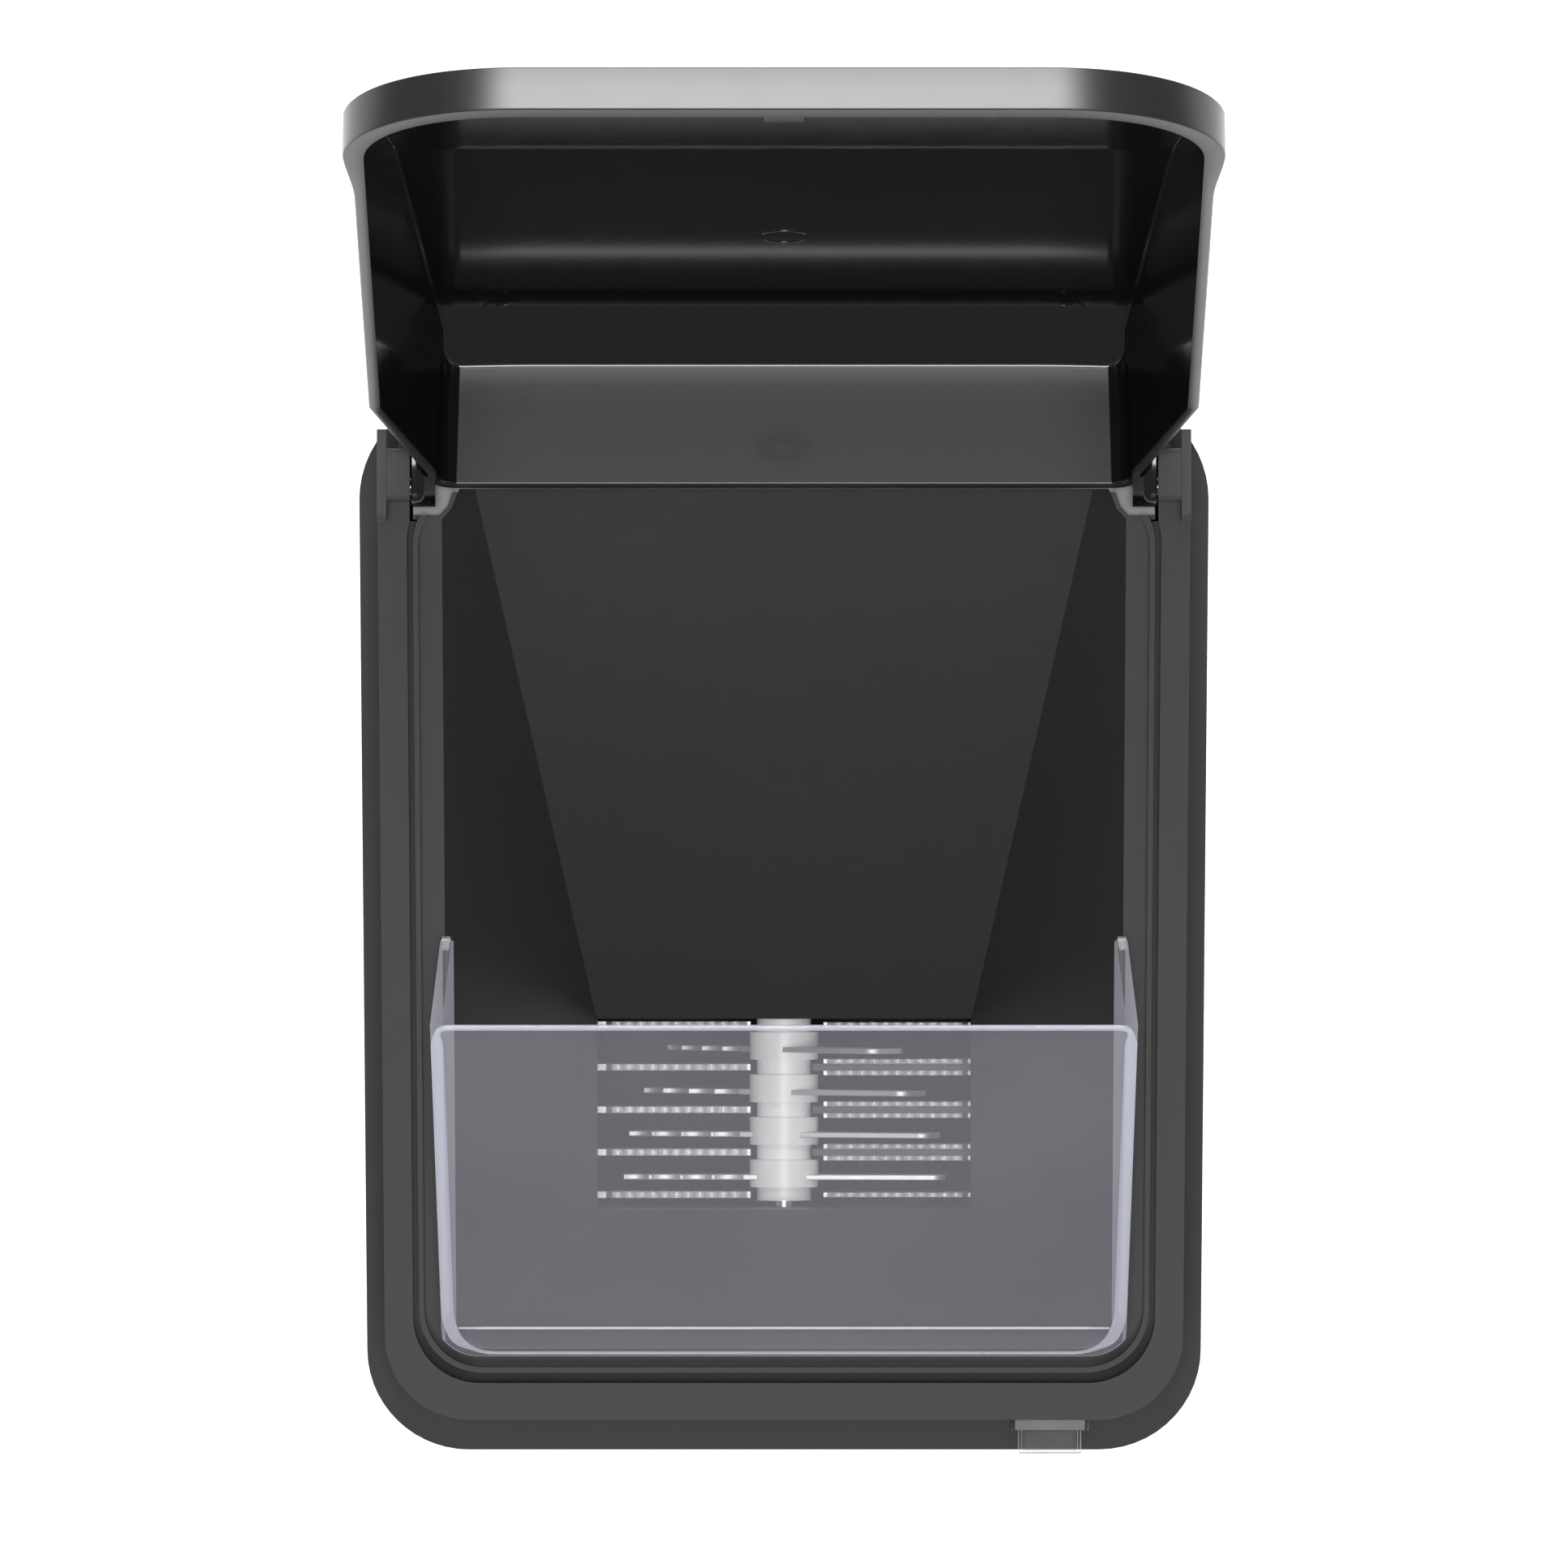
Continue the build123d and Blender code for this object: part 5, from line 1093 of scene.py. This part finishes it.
def deck_parts(shop: Workshop) -> CarriedParts:
    """Top frame, hopper, hinge and clear guard.

    Args:
        shop: the workshop that places the pieces.

    Returns:
        The group, not yet built.
    """
    return CarriedParts(
        shop,
        {
            "top_frame": (FinishName.FRAME, 0.0007),
            "hopper": (FinishName.HOPPER, 0.0007),
            "left_hinge_block": (FinishName.HINGE, 0.0006),
            "right_hinge_block": (FinishName.HINGE, 0.0006),
            "splash_guard": (FinishName.CLEAR, 0.0013),
        },
        {"hinge_pins": FinishName.SHAFT, "reed_switch": FinishName.INNER},
        {"hopper": 16.0},
    )


def crusher_parts(shop: Workshop) -> CarriedParts:
    """Spindle, arms, combs and the chamber round them.

    Args:
        shop: the workshop that places the pieces.

    Returns:
        The group, not yet built.
    """
    rounded: dict[str, tuple[FinishName, float]] = {
        "crusher_spindle": (FinishName.WHITE, 0.0005),
        "crusher_chamber": (FinishName.INNER, 0.0006),
        "ice_chute": (FinishName.INNER, 0.0006),
    }
    for index in range(1, 5):
        rounded[f"crusher_arm_{index}"] = (FinishName.STAINLESS, 0.0003)
    for index in range(1, 6):
        rounded[f"left_comb_{index}"] = (FinishName.STAINLESS, 0.0002)
        rounded[f"right_comb_{index}"] = (FinishName.STAINLESS, 0.0002)
    plain = {
        "comb_spacers": FinishName.INNER,
        "comb_tie_rods": FinishName.SHAFT,
        "front_bush": FinishName.BRONZE,
        "rear_bush": FinishName.BRONZE,
        "drive_shaft": FinishName.SHAFT,
        "spindle_clip": FinishName.SHAFT,
    }
    return CarriedParts(shop, rounded, plain)


def drive_parts(shop: Workshop) -> CarriedParts:
    """Gearbox, motor, fan and electrics inside the housing.

    Args:
        shop: the workshop that places the pieces.

    Returns:
        The group, not yet built.
    """
    return CarriedParts(
        shop,
        {
            "gearbox_case": (FinishName.INNER, 0.0008),
            "gearbox_cover": (FinishName.MOTOR, 0.0004),
            "cooling_fan": (FinishName.INNER, 0.0003),
            "motor_cradle": (FinishName.INNER, 0.0008),
        },
        {
            "output_gear": FinishName.GEAR,
            "idler_gear": FinishName.GEAR,
            "motor_pinion": FinishName.SHAFT,
            "idler_axle": FinishName.SHAFT,
            "gearbox_screws": FinishName.SCREW,
            "motor_case": FinishName.MOTOR,
            "motor_stator": FinishName.WINDING,
            "motor_bearings": FinishName.BRONZE,
            "rotor_core": FinishName.MOTOR,
            "motor_shaft": FinishName.SHAFT,
            "control_board": FinishName.BOARD,
        },
    )


def bin_parts(shop: Workshop) -> CarriedParts:
    """Ice bin, its front and the bay it slides in.

    Args:
        shop: the workshop that places the pieces.

    Returns:
        The group, not yet built.
    """
    return CarriedParts(
        shop,
        {
            "bin_front": (FinishName.FRAME, 0.0009),
            "ice_bin": (FinishName.CLEAR, 0.0006),
            "bin_bay": (FinishName.INNER, 0.0005),
        },
    )


def switch_parts(shop: Workshop) -> CarriedParts:
    """Rocker switch and its clear splash cap.

    Args:
        shop: the workshop that places the pieces.

    Returns:
        The group, not yet built.
    """
    return CarriedParts(
        shop,
        {
            "switch_housing": (FinishName.HOUSING, 0.0004),
            "rocker": (FinishName.HOUSING, 0.0004),
            "switch_cap": (FinishName.CAP, 0.0004),
        },
    )


# --------------------------------------------------------------------------- studio


@dataclass
class SoftLight:
    """One rectangular studio light aimed at the crusher."""

    name: str
    place: tuple[float, float, float]
    size: tuple[float, float]
    power: float
    aim: tuple[float, float, float] = (0.0, 0.03, 0.38)

    def build(self) -> None:
        """Add the light."""
        data = bpy.data.lights.new(self.name, "AREA")
        data.shape = "RECTANGLE"
        data.size, data.size_y = self.size
        data.energy = self.power
        lamp = bpy.data.objects.new(self.name, data)
        bpy.context.scene.collection.objects.link(lamp)
        lamp.location = self.place
        lamp.rotation_euler = (Vector(self.aim) - Vector(self.place)).to_track_quat("-Z", "Y").to_euler()


@dataclass
class Studio:
    """Pale floor, white surroundings, soft lights and the camera straight above."""

    camera_height: float = 4.16
    hinge_z: float = 0.409
    axis_y: float = 0.0391
    frame_width: float = 0.41635
    sensor: float = 36.0
    floor_half: float = 24.0
    world_strength: float = 0.30
    floor_glow: float = 0.62
    lights: tuple[SoftLight, ...] = (
        SoftLight("overhead softbox", (0.0, -0.30, 5.6), (2.2, 1.7), 185.0),
        SoftLight("rear softbox", (0.0, 2.42, 3.38), (1.4, 1.2), 118.0, (0.0, 0.2, 0.62)),
        SoftLight("front softbox", (0.0, -2.6, 2.8), (2.2, 1.2), 9.0),
        SoftLight("left softbox", (-2.8, 0.2, 2.2), (1.2, 2.2), 7.0),
        SoftLight("right softbox", (2.8, 0.2, 2.2), (1.2, 2.2), 6.0),
    )

    def build(self) -> None:
        """Make the floor, the surroundings, the lights and the camera."""
        self.floor()
        self.surroundings()
        for light in self.lights:
            light.build()
        self.camera()
        bpy.context.scene.view_settings.view_transform = "Standard"

    def floor(self) -> None:
        """A flat pale sheet under the feet, as a grid that is a function of x and y alone."""
        line = np.linspace(-self.floor_half, self.floor_half, 9)
        x, y = np.meshgrid(line, line)
        mesh = grid_mesh("floor", np.stack([x, y, 0 * x], axis=-1))
        shader = Shader("pale floor")
        cloud = shader.noise(3.0, 2.0)
        shader.link("Base Color", shader.blend(cloud, (0.90, 0.90, 0.90), (0.94, 0.94, 0.94)))
        shader.set(Roughness=0.8, Emission_Color=(1.0, 1.0, 1.0, 1.0), Emission_Strength=self.floor_glow)
        mesh.materials.append(shader.material)
        sheet = bpy.data.objects.new("floor", mesh)
        bpy.context.scene.collection.objects.link(sheet)

    def surroundings(self) -> None:
        """Even white surroundings."""
        world = bpy.data.worlds.new("studio white")
        world.use_nodes = True
        background = world.node_tree.nodes["Background"]
        background.inputs["Color"].default_value = (1.0, 1.0, 1.0, 1.0)
        background.inputs["Strength"].default_value = self.world_strength
        bpy.context.scene.world = world

    def camera(self) -> None:
        """Long lens straight above, its frame as wide as frame_width at the height of the hinge."""
        data = bpy.data.cameras.new("camera")
        data.sensor_width = self.sensor
        data.lens = self.sensor * self.camera_height / self.frame_width
        data.clip_end = 50.0
        camera = bpy.data.objects.new("camera", data)
        bpy.context.scene.collection.objects.link(camera)
        camera.location = (0.0, self.axis_y, self.hinge_z + self.camera_height)
        bpy.context.scene.camera = camera


def main() -> None:
    """Build every sub-assembly and the studio."""
    logging.basicConfig(level=logging.INFO, format="%(name)s: %(message)s")
    shop = Workshop()
    stages = {
        "housing": housing_parts(shop),
        "deck": deck_parts(shop),
        "crusher": crusher_parts(shop),
        "drive": drive_parts(shop),
        "bin": bin_parts(shop),
        "switch": switch_parts(shop),
        "lid": Lid(shop),
        # Painted highlight strips on the clear guard's edges.
        "guard rim highlight": GuardRimHighlight(shop),
        "studio": Studio(),
    }
    for name, stage in stages.items():
        LOG.info("building %s", name)
        stage.build()


if __name__ == "__main__":
    main()
